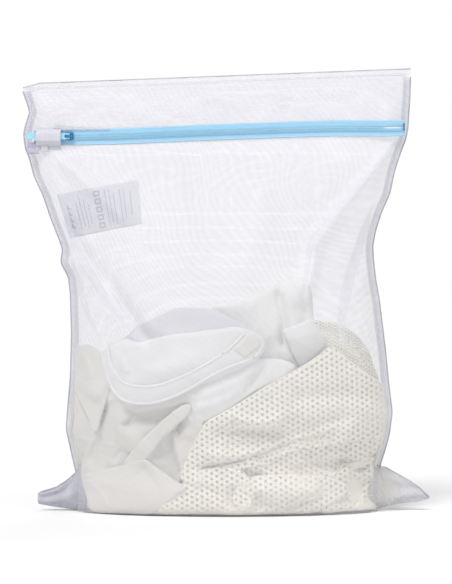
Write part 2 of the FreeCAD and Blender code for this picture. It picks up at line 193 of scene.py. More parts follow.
# ---- mesh helpers ----
def link(obj):
    bpy.context.scene.collection.objects.link(obj)
    return obj


def mesh_object(name, points, faces, uv=None, smooth=True):
    """A mesh object from arrays. uv is one pair a point."""
    mesh = bpy.data.meshes.new(name)
    mesh.from_pydata([tuple(p) for p in points], [], [tuple(f) for f in faces])
    mesh.validate()
    if uv is not None:
        layer = mesh.uv_layers.new(name="cloth")
        loop_vertex = np.zeros(len(mesh.loops), dtype=int)
        mesh.loops.foreach_get("vertex_index", loop_vertex)
        layer.data.foreach_set("uv", np.asarray(uv)[loop_vertex].ravel())
    if smooth:
        mesh.polygons.foreach_set("use_smooth", [True] * len(mesh.polygons))
    return link(bpy.data.objects.new(name, mesh))


def grid_faces(rows, columns, closed=False):
    """The quads of a grid of points, whose rows are rings if it is closed."""
    faces = []
    last = columns if closed else columns - 1
    for i in range(rows - 1):
        for j in range(last):
            k = (j + 1) % columns
            faces.append((i * columns + j, i * columns + k, (i + 1) * columns + k, (i + 1) * columns + j))
    return faces


def grid_object(name, x, y, z, uv=None, closed=False):
    """A mesh object from equal 2-D arrays of coordinates."""
    rows, columns = x.shape
    points = np.stack([x, y, z], axis=-1).reshape(-1, 3)
    flat_uv = None if uv is None else np.stack(uv, axis=-1).reshape(-1, 2)
    return mesh_object(name, points, grid_faces(rows, columns, closed), flat_uv)


def cloth_uv(x, y, z):
    """Lengths along the cloth in both directions, in metres, as UVs for a weave."""
    def lengths(axis):
        steps = [np.diff(c, axis=axis) for c in (x, y, z)]
        step = np.sqrt(sum(s ** 2 for s in steps))
        start = np.zeros_like(np.take(x, [0], axis=axis))
        return np.concatenate([start, np.cumsum(step, axis=axis)], axis=axis)

    over, up = lengths(1), lengths(0)
    return over - over[:, -1:] / 2, np.broadcast_to(up.mean(axis=1, keepdims=True), up.shape)


def shaped(obj, *modifiers):
    """Bakes modifiers, each a kind and its settings, into the object's mesh."""
    for kind, settings in modifiers:
        made = obj.modifiers.new(kind.lower(), kind)
        for name, value in settings.items():
            setattr(made, name, value)
    graph = bpy.context.evaluated_depsgraph_get()
    mesh = bpy.data.meshes.new_from_object(obj.evaluated_get(graph), depsgraph=graph)
    obj.modifiers.clear()
    obj.data = mesh
    mesh.polygons.foreach_set("use_smooth", [True] * len(mesh.polygons))


def thick(thickness, offset=0.0):
    """The modifier that gives a sheet its thickness, on both sides of its faces unless offset says so."""
    return "SOLIDIFY", {"thickness": thickness, "offset": offset}


SOFTER = ("SMOOTH", {"factor": 0.5, "iterations": 1})
FINER = ("SUBSURF", {"levels": 1, "render_levels": 1})


def lengths_along(path):
    """The length from a path's start to each of its points."""
    return np.concatenate([[0], np.cumsum(np.linalg.norm(np.diff(path, axis=0), axis=1))])


def spots_at(where, chart, path):
    """Points of a path, where chart gives each of the path's own points its place."""
    return np.stack([np.interp(where, chart, column) for column in path.T], axis=1)


def path_of(x, y, z):
    """Points from x, y and z, each an array or one value."""
    return np.stack(np.broadcast_arrays(x, y, z), axis=1)


def eased(share):
    """0 to 1 with a soft start and a soft end."""
    return share * share * (3 - 2 * share)


def segment_distance(x, z, start, end):
    """Signed distance from a line in the XZ plane, and how far along it, 0 to 1."""
    ax, az = start
    dx, dz = end[0] - ax, end[1] - az
    length = math.hypot(dx, dz)
    along = ((x - ax) * dx + (z - az) * dz) / length ** 2
    off = ((x - ax) * dz - (z - az) * dx) / length
    return off, along


def fold(x, z, start, end, width, height):
    """A crease's height at (x, z): a ridge from start to end that fades at both ends."""
    tail = 0.12
    off, along = segment_distance(x, z, start, end)
    fade = eased(np.clip(np.minimum(along + tail, 1 + tail - along) / (2 * tail), 0, 1))
    return height * fade * np.exp(-(off / width) ** 2)


def folds(x, z, creases):
    """The height of all the creases together."""
    total = np.zeros_like(x)
    for crease in creases:
        total += fold(x, z, *crease)
    return total


def crossing_waves(x, z, seed, waves, longest, shortest):
    """Waves in drawn directions: how far (x, z) is along each, its length and its phase."""
    draw = np.random.default_rng(seed)
    for i in range(waves):
        length = longest * (shortest / longest) ** (i / (waves - 1))
        angle = draw.uniform(0, math.pi)
        phase = draw.uniform(0, 2 * math.pi)
        yield x * math.cos(angle) + z * math.sin(angle), length, phase


def ripple(x, z, seed, waves=7, longest=0.12, shortest=0.02):
    """A smooth uneven field between about -1 and 1, from a few crossing waves."""
    total = np.zeros_like(x)
    for along, length, phase in crossing_waves(x, z, seed, waves, longest, shortest):
        total += np.sin(2 * math.pi * along / length + phase) * (length / longest) ** 0.8
    return total / 2.2


def ridges(x, z, seed):
    """Soft cloth between sharper creases: 0 in the creases' valleys and up to about 2 on their tops."""
    longest, shortest = 0.08, 0.02
    bend = 0.010
    bent_x = x + bend * ripple(x, z, seed + 100, 4, 0.12, 0.04)
    bent_z = z + bend * ripple(x, z, seed + 200, 4, 0.12, 0.04)
    total = np.zeros_like(x)
    weight = 0.0
    for along, length, phase in crossing_waves(bent_x, bent_z, seed, 6, longest, shortest):
        share = length / longest
        total += share * (1 - np.abs(np.sin(math.pi * along / length + phase)) ** 0.7)
        weight += share
    return total / weight * 2.0


# ---- materials ----
def new_material(name, color, roughness, **sockets):
    """A Principled material and its node tree, shader and output."""
    material = bpy.data.materials.new(name)
    material.use_nodes = True
    tree = material.node_tree
    shader = tree.nodes["Principled BSDF"]
    shader.inputs["Base Color"].default_value = (*color, 1)
    shader.inputs["Roughness"].default_value = roughness
    for socket, value in sockets.items():
        shader.inputs[socket.replace("_", " ")].default_value = value
    return material, tree, shader


def node(tree, kind, **inputs):
    """A shader node with plain values in its inputs, where _ stands for a space in an input's name."""
    made = tree.nodes.new("ShaderNode" + kind)
    for socket, value in inputs.items():
        made.inputs[socket.replace("_", " ")].default_value = value
    return made


def math_node(tree, operation, first, second=0.0, third=None):
    """The result of a sum on sockets and plain values."""
    made = tree.nodes.new("ShaderNodeMath")
    made.operation = operation
    for index, value in enumerate((first, second, third)):
        if value is None:
            continue
        if isinstance(value, (int, float)):
            made.inputs[index].default_value = value
        else:
            tree.links.new(value, made.inputs[index])
    return made.outputs[0]


def uv_axes(tree):
    """The sockets of the lengths over and up the cloth."""
    uv = node(tree, "UVMap")
    split = node(tree, "SeparateXYZ")
    tree.links.new(uv.outputs[0], split.inputs[0])
    return split.outputs


def uv_threads(tree, pitch, share):
    """Two sockets that are 1 on the threads along each direction of the cloth and 0 between them."""
    axes = uv_axes(tree)
    rows = []
    for axis in (0, 1):
        cell = math_node(tree, "FRACT", math_node(tree, "MULTIPLY", axes[axis], 1 / pitch))
        off = math_node(tree, "ABSOLUTE", math_node(tree, "SUBTRACT", cell, 0.5))
        rows.append(math_node(tree, "LESS_THAN", off, share / 2))
    return rows


def object_noise(tree, scale, detail=3.0, roughness=0.5):
    """A socket with noise that is fixed to the object."""
    where = node(tree, "TexCoord")
    noise = node(tree, "TexNoise", Scale=scale, Detail=detail, Roughness=roughness)
    tree.links.new(where.outputs["Object"], noise.inputs["Vector"])
    return noise.outputs["Fac"]


def tinted(tree, shader, factor, dark, light):
    """The shader's colour goes from dark to light by factor."""
    ramp = node(tree, "Mix")
    ramp.data_type = "RGBA"
    ramp.inputs["A"].default_value = (*dark, 1)
    ramp.inputs["B"].default_value = (*light, 1)
    tree.links.new(factor, ramp.inputs["Factor"])
    tree.links.new(ramp.outputs["Result"], shader.inputs["Base Color"])


def bumped(tree, shader, height, strength, distance):
    """The shader's surface rises and falls with a height."""
    bump = node(tree, "Bump", Strength=strength, Distance=distance)
    tree.links.new(height, bump.inputs["Height"])
    tree.links.new(bump.outputs[0], shader.inputs["Normal"])


def cloth_material(name, dark, light, grain, bump, roughness=0.9, sheen=0.3):
    """Plain opaque cloth with a weave too fine to see and a soft unevenness."""
    material, tree, shader = new_material(name, light, roughness, Sheen_Weight=sheen)
    tinted(tree, shader, object_noise(tree, scale=26.0, detail=4.0, roughness=0.6), dark, light)
    bumped(tree, shader, object_noise(tree, grain, detail=2.0, roughness=0.7), bump, distance=0.0006)
    return material


def dress(obj, material):
    """The object wears this material and no other."""
    obj.data.materials.clear()
    obj.data.materials.append(material)


def finish_piece(obj, material, body, slot, replaces=()):
    """Gives a piece its material, hides the CAD nodes that it replaces and hangs it on the body that it rides
    on. The slot is not used.
    """
    dress(obj, material)
    if replaces:
        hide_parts(*replaces)
    if body:
        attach(obj, body)
    return obj


def ribbed_material(name, dark, light, pitch, axis, roughness, sheen, bump):
    """Woven ribbon: ribs along one direction of its UVs, their grooves tinted darker as painted shade, and a
    small uneven tone.
    """
    material, tree, shader = new_material(name, light, roughness, Sheen_Weight=sheen)
    turns = math_node(tree, "MULTIPLY", uv_axes(tree)[axis], 2 * math.pi / pitch)
    ribs = math_node(tree, "MULTIPLY_ADD", math_node(tree, "SINE", turns), 0.22, 0.5)
    shade = math_node(tree, "MULTIPLY_ADD", object_noise(tree, scale=180.0), 0.5, -0.25)
    # the tint follows the ribs' height too: painted shade in the grooves between them
    tinted(tree, shader, math_node(tree, "ADD", ribs, shade), dark, light)
    bumped(tree, shader, ribs, bump, distance=0.0003)
    return material


def sheer_material(name, color, pitch, share, haze, wave=0.0):
    """Fine woven mesh: threads with open cells between them, and a haze of fibre. wave is how much the
    cover varies in long curved ripples, as two layers of net make where they lie on each other."""
    material, tree, shader = new_material(name, color, 0.6, Sheen_Weight=0.1)
    warp, weft = uv_threads(tree, pitch, share)
    threads = math_node(tree, "MAXIMUM", warp, weft)
    where = node(tree, "TexCoord")
    bands = node(tree, "TexWave", Scale=80.0, Distortion=34.0, Detail=1.0, Detail_Scale=0.11)
    bands.wave_type = "BANDS"
    bands.bands_direction = "DIAGONAL"
    tree.links.new(where.outputs["Object"], bands.inputs["Vector"])
    ripples = math_node(tree, "MULTIPLY_ADD", bands.outputs["Fac"], wave, haze - wave / 2)
    uneven = math_node(tree, "MULTIPLY_ADD", object_noise(tree, scale=16.0, detail=1.0), 0.05, -0.025)
    cover = math_node(tree, "MAXIMUM", threads, math_node(tree, "ADD", ripples, uneven))
    tree.links.new(cover, shader.inputs["Alpha"])
    return material


def painted_material(name, dark, light, metallic, roughness, coat):
    """Painted metal with faint wear: its shade and its gloss both vary a little."""
    material, tree, shader = new_material(name, light, roughness, Metallic=metallic, Coat_Weight=coat)
    worn = object_noise(tree, scale=420.0, detail=4.0, roughness=0.65)
    tinted(tree, shader, worn, dark, light)
    gloss = math_node(tree, "MULTIPLY_ADD", worn, 0.18, roughness - 0.09)
    tree.links.new(gloss, shader.inputs["Roughness"])
    bumped(tree, shader, object_noise(tree, scale=260.0), strength=0.05, distance=0.0004)
    return material


NET_PITCH = 0.00085                  # from thread to thread of the bag's mesh
MESH_CLOTH = sheer_material("mesh_cloth", (0.76, 0.75, 0.81), NET_PITCH, 0.15, 0.12, 0.02)
STRIP_CLOTH = sheer_material("strip_cloth", (0.69, 0.68, 0.74), NET_PITCH, 0.16, 0.22, 0.05)
BACK_CLOTH = sheer_material("back_cloth", (0.76, 0.75, 0.81), NET_PITCH, 0.15, 0.14, 0.09)
FOLD_CLOTH = sheer_material("fold_cloth", (0.74, 0.73, 0.80), NET_PITCH, 0.15, 0.17, 0.05)
# dark brown for the tube that paints the contact shadow along the bag's front foot
FOOT_SHADOW_CLOTH = cloth_material("foot_shadow_cloth", (0.16, 0.14, 0.13), (0.26, 0.23, 0.21), 1500, 0.1)
# The left ear's cloth is denser than the right ear's for its extra layers, and darker as painted shade.
LEFT_EAR_SHADED_CLOTH = sheer_material("left_ear_shaded_cloth", (0.46, 0.46, 0.53), 0.00075, 0.36, 0.44, 0.16)
RIGHT_EAR_CLOTH = sheer_material("right_ear_cloth", (0.58, 0.58, 0.62), 0.00075, 0.26, 0.24, 0.20)
SEAM_BAND = sheer_material("seam_band", (0.66, 0.67, 0.76), 0.0007, 0.16, 0.18, 0.05)
SEAM_EDGE = cloth_material("seam_edge", (0.36, 0.35, 0.38), (0.50, 0.49, 0.54), 1500, 0.3)
PATCH_CLOTH = cloth_material("patch_cloth", (0.42, 0.41, 0.53), (0.52, 0.51, 0.63), 900, 0.3)
THREAD = cloth_material("thread", (0.70, 0.70, 0.76), (0.80, 0.80, 0.86), 2500, 0.2)
HEM_THREAD = cloth_material("hem_thread", (0.84, 0.84, 0.88), (0.92, 0.92, 0.95), 2500, 0.2)
ZIP_TAPE = ribbed_material("zip_tape", (0.29, 0.55, 0.75), (0.38, 0.66, 0.86), 0.0011, 1, 0.7, 0.3, 0.15)
ZIP_COIL = cloth_material("zip_coil", (0.38, 0.70, 0.90), (0.52, 0.80, 0.96), 1800, 0.1, 0.35, 0.0)
SLIDER_PAINT = painted_material("slider_paint", (0.008, 0.16, 0.32), (0.02, 0.28, 0.50), 0.2, 0.25, 0.8)
PULL_PAINT = painted_material("pull_paint", (0.30, 0.62, 0.86), (0.42, 0.74, 0.94), 0.0, 0.22, 0.9)
ELASTIC_RIB = 0.0013
ELASTIC = ribbed_material("elastic", (0.50, 0.50, 0.57), (0.69, 0.69, 0.75), ELASTIC_RIB, 0, 0.75, 0.3, 0.4)
LABEL_CLOTH = sheer_material("label_cloth", (0.68, 0.70, 0.73), 0.0005, 0.45, 0.52)
LABEL_PRINT = cloth_material("label_print", (0.22, 0.23, 0.25), (0.34, 0.35, 0.37), 2200, 0.1)
WHITE_COTTON = cloth_material("white_cotton", (0.75, 0.75, 0.73), (0.83, 0.83, 0.81), 900, 0.25)
HEM_COTTON = cloth_material("hem_cotton", (0.69, 0.69, 0.68), (0.77, 0.77, 0.76), 900, 0.25)
SHADED_COTTON = cloth_material("shaded_cotton", (0.58, 0.58, 0.61), (0.66, 0.66, 0.69), 900, 0.25)
CREAM_COTTON = cloth_material("cream_cotton", (0.67, 0.65, 0.58), (0.74, 0.72, 0.65), 900, 0.25)
CREAM_KNIT = cloth_material("cream_knit", (0.85, 0.82, 0.68), (0.93, 0.90, 0.78), 1400, 0.5)
GREY_TERRY = cloth_material("grey_terry", (0.80, 0.81, 0.78), (0.90, 0.90, 0.86), 1100, 0.9)


# ---- the mesh bag ----
FRONT_CREASES = [
    # start, end, half width, height
    ((0.190, 0.396), (0.088, 0.276), 0.007, 0.014),
    ((0.092, 0.282), (0.078, 0.215), 0.007, 0.011),
    ((0.160, 0.338), (0.128, 0.235), 0.006, -0.012),
    ((-0.165, 0.300), (-0.080, 0.180), 0.007, -0.014),
    ((-0.150, 0.290), (-0.110, 0.215), 0.006, 0.008),
    ((-0.180, 0.372), (-0.100, 0.300), 0.008, 0.009),
    ((-0.060, 0.378), (-0.030, 0.250), 0.012, 0.004),
    ((0.050, 0.380), (0.020, 0.240), 0.014, 0.004),
    ((-0.150, 0.150), (-0.070, 0.050), 0.010, 0.004),
    ((0.150, 0.150), (0.105, 0.035), 0.010, 0.004),
]
BACK_CREASES = [
    ((-0.186, 0.410), (-0.075, 0.260), 0.011, 0.010),
    ((0.170, 0.390), (0.060, 0.240), 0.011, 0.010),
    ((0.000, 0.430), (-0.020, 0.260), 0.016, 0.006),
    ((0.060, 0.430), (0.075, 0.300), 0.012, 0.005),
    ((-0.120, 0.230), (-0.060, 0.090), 0.014, -0.006),
    ((0.110, 0.220), (0.070, 0.080), 0.014, -0.006),
]


def along_at(height):
    """Where a height above the heel is in the panels' own measure."""
    return 2 + (height - FIRST) / (TOP - FIRST)


def panel(name, side, top_along, creases, seed):
    """One mesh panel from the bottom seam up, with its creases pressed into it."""
    across = np.sin(np.linspace(-1, 1, 181) * math.pi / 2)
    along = np.concatenate([np.linspace(0, 1, 8)[:-1], np.linspace(1, 2, 14)[:-1],
                            np.linspace(2, top_along, 190)])
    grid_across, grid_along = np.meshgrid(across, along)
    x, y, z = panel_point(grid_across, grid_along, side)
    inside = (1 - np.abs(grid_across) ** 8) * np.clip((grid_along - 1.0) / 1.0, 0, 1)
    calm = np.clip((top_along - grid_along) / 0.06, 0, 1)    # the creases fade towards the sewn edge
    lift = folds(x, z, creases) + 0.0012 * ripple(x, z, seed)
    y = y + side * lift * inside * calm
    return grid_object(name, x, y, z, cloth_uv(x, y, z))


def strip_side(name, x_seam, x_middle):
    """Half of the cloth above the zip, from a side seam to the middle of the mouth."""
    turn = 0.020                     # over this length it goes back to the seam
    grid_x, grid_t = np.meshgrid(np.linspace(x_seam, x_middle, 110), np.linspace(0, 1, 24))
    low = zip_z(grid_x) + 0.0046
    high = rise(grid_x, TOP - 0.006)
    z = low + (high - low) * grid_t
    front = ZIP_CLOTH_Y + (FLAP_AXIS_Y - ZIP_CLOTH_Y) * grid_t
    back = np.clip(1 - np.abs(grid_x - x_seam) / turn, 0, 1) ** 2
    y = front + (-HALF_GAP - front) * back
    calm = np.sin(math.pi * grid_t) * (1 - back)
    y = y - calm * (0.0014 * ripple(grid_x, z, 11, longest=0.10) + 0.0012)
    strip = grid_object(name, grid_x, y, z, cloth_uv(grid_x, y, z))
    strip.data.flip_normals()
    return strip


def ring(half_width, half_thick):
    """A flattened loop round a band's middle line, as offsets along its width and its thickness."""
    angle = np.linspace(0, 2 * math.pi, 12, endpoint=False)
    wide = np.sign(np.cos(angle)) * np.abs(np.cos(angle)) ** 0.5 * half_width
    thick = np.sign(np.sin(angle)) * np.abs(np.sin(angle)) ** 0.8 * half_thick
    return wide, thick


def band_along(name, path, across, half_width, half_thick, seed, pucker=0.0008):
    """A closed band of folded cloth along a path, with small puckers. across is the unit direction of its
    width."""
    across = np.tile(across, (len(path), 1))
    steps = lengths_along(path)
    normal = np.cross(np.gradient(path, axis=0), across)
    normal /= np.linalg.norm(normal, axis=1, keepdims=True)
    wide, thick = ring(half_width, half_thick)
    wave = pucker * ripple(steps, np.zeros_like(steps), seed, waves=5, longest=0.05, shortest=0.006)
    ends = np.clip(np.minimum(steps, steps[-1] - steps) / 0.002, 0.15, 1)
    points = (path[:, None] + across[:, None] * wide[None, :, None]
              + normal[:, None] * (thick[None, :] * ends[:, None] + wave[:, None])[..., None])
    uv = (np.broadcast_to(wide, points.shape[:2]), np.broadcast_to(steps[:, None], points.shape[:2]))
    return grid_object(name, points[..., 0], points[..., 1], points[..., 2], uv, closed=True)


def tube(points, radius, sides=6):
    """Vertices and faces of a round thread along points, closed at both ends."""
    points = np.asarray(points)
    along = np.gradient(points, axis=0)
    along /= np.linalg.norm(along, axis=1, keepdims=True)
    helper = np.where(np.abs(along[:, :1]) > 0.8, [[0, 0, 1.0]], [[1.0, 0, 0]])
    first = np.cross(along, helper)
    first /= np.linalg.norm(first, axis=1, keepdims=True)
    second = np.cross(along, first)
    angle = np.linspace(0, 2 * math.pi, sides, endpoint=False)
    loop = first[:, None] * np.cos(angle)[None, :, None] + second[:, None] * np.sin(angle)[None, :, None]
    vertices = (points[:, None] + radius * loop).reshape(-1, 3)
    faces = grid_faces(len(points), sides, closed=True)
    last = (len(points) - 1) * sides
    faces.append(tuple(range(sides))[::-1])
    faces.append(tuple(last + i for i in range(sides)))
    return vertices, faces


def joined(name, parts):
    """One object from many (vertices, faces) pairs."""
    vertices, faces, count = [], [], 0
    for part_vertices, part_faces in parts:
        vertices.append(part_vertices)
        faces.extend(tuple(i + count for i in face) for face in part_faces)
        count += len(part_vertices)
    return mesh_object(name, np.concatenate(vertices), faces)


def stitch_row(name, path):
    """A row of lockstitches along a path: each dips into the cloth at both its ends."""
    length, gap, radius, lift = 0.0026, 0.0009, 0.00022, 0.0003
    steps = lengths_along(path)
    parts = []
    for start in np.arange(0.001, steps[-1] - length, length + gap):
        where = start + length * np.array([0, 0.2, 0.5, 0.8, 1.0])
        spot = spots_at(where, steps, path)
        spot[:, 1] -= lift * np.array([-1, 0.6, 1, 0.6, -1])
        parts.append(tube(spot, radius, 5))
    return joined(name, parts)


def overlock(name, path, half_width, y):
    """The zigzag thread that wraps a seam's edge, laid on its front."""
    pitch, radius, margin = 0.0024, 0.00018, 0.002
    steps = lengths_along(path)
    where = np.arange(margin, steps[-1] - margin, pitch / 2)
    middle = spots_at(where, steps, path)
    middle[:, 0] += half_width * np.where(np.arange(len(where)) % 2, 0.9, -0.9)
    middle[:, 1] = y
    return joined(name, [tube(middle, radius, 4)])


def seam_path(edge, inward, y=0.0):
    """A line along a side seam, this far in from its edge. edge is 0 at the left and 1 at the right."""
    height = np.linspace(0.036, TOP - 0.008, 260)
    x = section(height)[edge] + (inward if edge == 0 else -inward)
    return path_of(x, y, rise(x, height))


def make_bag():
    """The front panel up to the zip and the back panel up to the hem."""
    front = panel("mesh_front", -1, along_at(ZIP_Z - 0.006), FRONT_CREASES, 3)
    finish_piece(front, MESH_CLOTH, "bag", "mesh_cloth", ("front_panel",))
    back = panel("mesh_back", 1, along_at(TOP - 0.004), BACK_CREASES, 5)
    finish_piece(back, BACK_CLOTH, "bag", "mesh_cloth", ("back_panel",))


STRIP_LEFT, STRIP_RIGHT = -0.201, 0.181


def make_strips():
    """The cloth above the zip, in two halves that reach from the side seams to the middle of the mouth."""
    left = strip_side("mesh_strip_left", STRIP_LEFT, FLAP_MIDDLE)
    right = strip_side("mesh_strip_right", STRIP_RIGHT, FLAP_MIDDLE)
    for strip, end, width in ((left, FLAP_LEFT, 0.184), (right, FLAP_RIGHT, 0.198)):
        finish_piece(strip, STRIP_CLOTH, None, "mesh_cloth")
        across_flap(strip, end)
    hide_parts("front_strip", "front_strip_left_end")
    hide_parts("front_strip_right_end")


def across_flap(piece, end_x):
    """Bakes the piece's transform into its mesh; the zip's heights at end_x and at the mouth's middle are
    worked out and not used.
    """
    z = zip_z(end_x)
    zip_z(FLAP_MIDDLE)
    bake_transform(piece)


BAND_HALF = 0.0009                   # half thickness of a folded seam or hem
SEWN_Y = -0.0012                     # where threads and rolled edges lie on the front of a seam


def make_side_seam(edge, side):
    """A side seam: its band, the rolled rim outside it, the overlock thread and the inner row of stitches."""
    path = seam_path(edge, SEAM_WIDTH / 2)
    band = band_along("seam_" + side, path, (1.0, 0, 0), SEAM_WIDTH / 2, BAND_HALF, 21 + edge)
    finish_piece(band, SEAM_BAND, "bag", "seam_band", ("side_seam_" + side,))
    rim = joined("seam_edge_" + side, [tube(seam_path(edge, 0.0003), 0.0008)])
    finish_piece(rim, SEAM_EDGE, "bag", "seam_band")
    thread = overlock("overlock_" + side, path, SEAM_WIDTH / 2, -0.0013)
    finish_piece(thread, THREAD, "bag", "thread")
    row = stitch_row("stitches_" + side, seam_path(edge, SEAM_WIDTH - 0.001, SEWN_Y))
    finish_piece(row, THREAD, "bag", "thread", ("side_stitches_" + side,))


def make_top_hem():
    """The hem over the mouth, its rolled edge and its stitches. Its left end hangs a little."""
    x = np.linspace(-0.209, 0.1895, 200)
    drop = 0.006 * np.clip(1 - (x + 0.210) / 0.018, 0, 1)
    path = path_of(x, 0.0, rise(x, TOP - 0.0035) - drop * 0.7)
    hem = band_along("hem_top", path, (0, 0, 1.0), 0.0036, BAND_HALF, 25, 0.0005)
    finish_piece(hem, MESH_CLOTH, "bag", "mesh_cloth", ("top_hem",))
    rim = joined("hem_edge", [tube(path + np.array([0, 0, 0.0033]), 0.0007)])
    finish_piece(rim, SEAM_EDGE, "bag", "seam_band")
    row = stitch_row("stitches_hem", path + np.array([0, SEWN_Y, -0.0022]))
    finish_piece(row, HEM_THREAD, "bag", "thread", ("top_hem_stitches",))


def make_foot():
    """The seam under the bag, and a thin dark tube along the front foot that paints the shadow where the
    front panel meets the ground.
    """
    path = path_of(np.linspace(-0.147, 0.150, 120), 0.0, 0.0010)
    base = band_along("seam_base", path, (0, 1.0, 0), 0.004, BAND_HALF, 27, 0.0)
    finish_piece(base, SEAM_BAND, "bag", "seam_band", ("bottom_seam",))
    across = np.linspace(-0.95, 0.95, 160)
    x, y, _ = panel_point(across, np.full_like(across, 1.0), -1)
    # a dark tube along the front foot: painted shadow where the panel meets the ground
    crease = joined("foot_shadow_line", [tube(path_of(x, y - 0.0004, 0.0006), 0.0006)])
    finish_piece(crease, FOOT_SHADOW_CLOTH, "bag", "seam_band")


# top line, bottom line (x and z from the bag outwards), and how far the layers stand apart
LEFT_EAR = ([(-144, 48), (-151, 47), (-157, 38), (-166, 30), (-175, 24.5), (-184, 21.5), (-191, 19.6),
             (-194.5, 17)],
            [(-144, 1), (-155, 0.5), (-166, 2), (-177, 3.3), (-186, 5), (-191, 6), (-194, 6.6), (-194.8, 9)])
RIGHT_EAR = ([(148, 48), (155, 47.5), (164, 45), (171, 41), (179, 36.5), (187, 32), (199, 24), (209.5, 13.5)],
             [(148, 1), (157, 1.8), (166, 4.2), (176, 6.6), (186, 7.6), (197, 8.7), (204, 10.5), (209.5, 12)])


def ear(name, lines, seed):
    """An empty bottom corner of the bag: two layers of mesh pressed nearly flat, joined at their edges."""
    top, bottom = [np.array(line) * MM for line in lines]
    t = np.linspace(0, 1, 40)
    chart = np.linspace(0, 1, len(top))
    upper, lower = spots_at(t, chart, top), spots_at(t, chart, bottom)
    angle = np.linspace(0, 2 * math.pi, 96, endpoint=False)
    mix = (1 - np.cos(angle)) / 2
    flat = lower[:, None] * (1 - mix)[None, :, None] + upper[:, None] * mix[None, :, None]
    x, z = flat[..., 0], flat[..., 1]
    depth = 0.0012 + 0.012 * (1 - t) ** 2
    bulge = np.sin(angle)[None, :] * depth[:, None]
    wave = 0.0016 * ripple(x, z, seed, longest=0.05, shortest=0.010) * t[:, None]
    pleats = 2 * math.pi * (1.7 * mix[None, :] + 0.4 * np.sin(3 * t[:, None] + seed))
    wave = wave + 0.0014 * np.sin(pleats) * np.sin(math.pi * np.clip(t[:, None], 0.02, 0.98))
    y = bulge + wave
    return grid_object(name, x, y, np.maximum(z, 0.0004), (x, z + (y > 0) * 0.05), closed=True)


def make_ear(side, lines, seed, cloth):
    """A corner of the bag, the rolled edge on its top line and the seam along its bottom line."""
    corner = ear("corner_" + side, lines, seed)
    finish_piece(corner, cloth, "bag", "mesh_cloth", ("bottom_corner_" + side,))
    upper, lower = [np.array(line) * MM for line in lines]
    rim = path_of(upper[2:, 0], SEWN_Y, upper[2:, 1])
    edge = joined("corner_edge_" + side, [tube(rim, 0.0006)])
    finish_piece(edge, SEAM_EDGE, "bag", "seam_band")
    line = spots_at(np.linspace(0, 1, 60), np.linspace(0, 1, len(lower)), lower)
    path = path_of(line[:, 0], 0.0, line[:, 1] + 0.0032)
    seam = band_along("corner_seam_" + side, path, (0, 0, 1.0), 0.003, BAND_HALF, 35)
    finish_piece(seam, SEAM_BAND, "bag", "seam_band")


make_bag()
make_strips()
make_side_seam(0, "left")
make_side_seam(1, "right")
make_top_hem()
make_foot()
make_ear("left", LEFT_EAR, 31, LEFT_EAR_SHADED_CLOTH)
make_ear("right", RIGHT_EAR, 32, RIGHT_EAR_CLOTH)


# ---- zip ----
TAPE_ABOVE, TAPE_BELOW = 0.0075, 0.009   # how far the tapes reach from the chain's middle
COIL_PITCH = 0.00125
COIL_THREAD = 0.00034                # radius of the thread that a coil is wound from


def parted(x):
    """0 to 1: how far the two rows stand apart at the right end, where the open slider's post rests."""
    return np.clip((x - 0.158) / 0.006, 0, 1)


def tape_object(name, x0, x1, above):
    """A zip tape, thin and closed, with its inner edge turned away at the left end of the chain."""
    x = np.linspace(x0, x1, max(12, int(abs(x1 - x0) / 0.002)))
    sign = 1 if above else -1
    spread = 0.0028 * np.clip((-0.1665 - x) / 0.010, 0, 1) ** 1.5
    near = 0.0001 + spread + 0.0006 * parted(x)
    far = np.full_like(x, TAPE_ABOVE if above else TAPE_BELOW)
    mix = np.concatenate([np.linspace(0, 1, 10), np.linspace(1, 0, 10)])
    depth = np.concatenate([np.zeros(10), np.full(10, TAPE_THICK)])
    off = near[:, None] + (far - near)[:, None] * mix[None, :]
    grid_x = np.broadcast_to(x[:, None], off.shape)
    wave = 0.00008 * ripple(grid_x, off * 0, 41, longest=0.12, shortest=0.03)
    y = ZIP_Y + depth[None, :] + wave * mix[None, :]
    z = zip_z(grid_x) + sign * off
    return grid_object(name, grid_x, y, z, (grid_x, off), closed=True)


def coil_object(name, x0, x1, above):
    """One coil of the zip: a thread wound flat, whose turns lie between those of the other coil."""
    sign, turns_offset = (1, 0.0) if above else (-1, 0.5)
    first = math.ceil(x0 / COIL_PITCH) * COIL_PITCH
    turns = int((x1 - first) / COIL_PITCH)
    phase = np.linspace(0, turns * 2 * math.pi, turns * 10 + 1)
    x = first + COIL_PITCH * (phase / (2 * math.pi) + turns_offset)
    reach = np.cos(phase)
    narrow = 0.0006 * parted(x)
    off = 0.0015 + narrow + (0.0017 - narrow) * np.sign(reach) * np.abs(reach) ** 0.7
    y = ZIP_Y - 0.0009 - 0.00062 * np.sin(phase)
    return joined(name, [tube(path_of(x, y, zip_z(x) + sign * off), COIL_THREAD, 5)])


def zip_row(name, x0, x1, offset):
    """A row of stitches beside the chain."""
    x = np.linspace(x0, x1, max(4, int(abs(x1 - x0) / 0.004)))
    return stitch_row(name, path_of(x, ZIP_Y, zip_z(x) + offset))


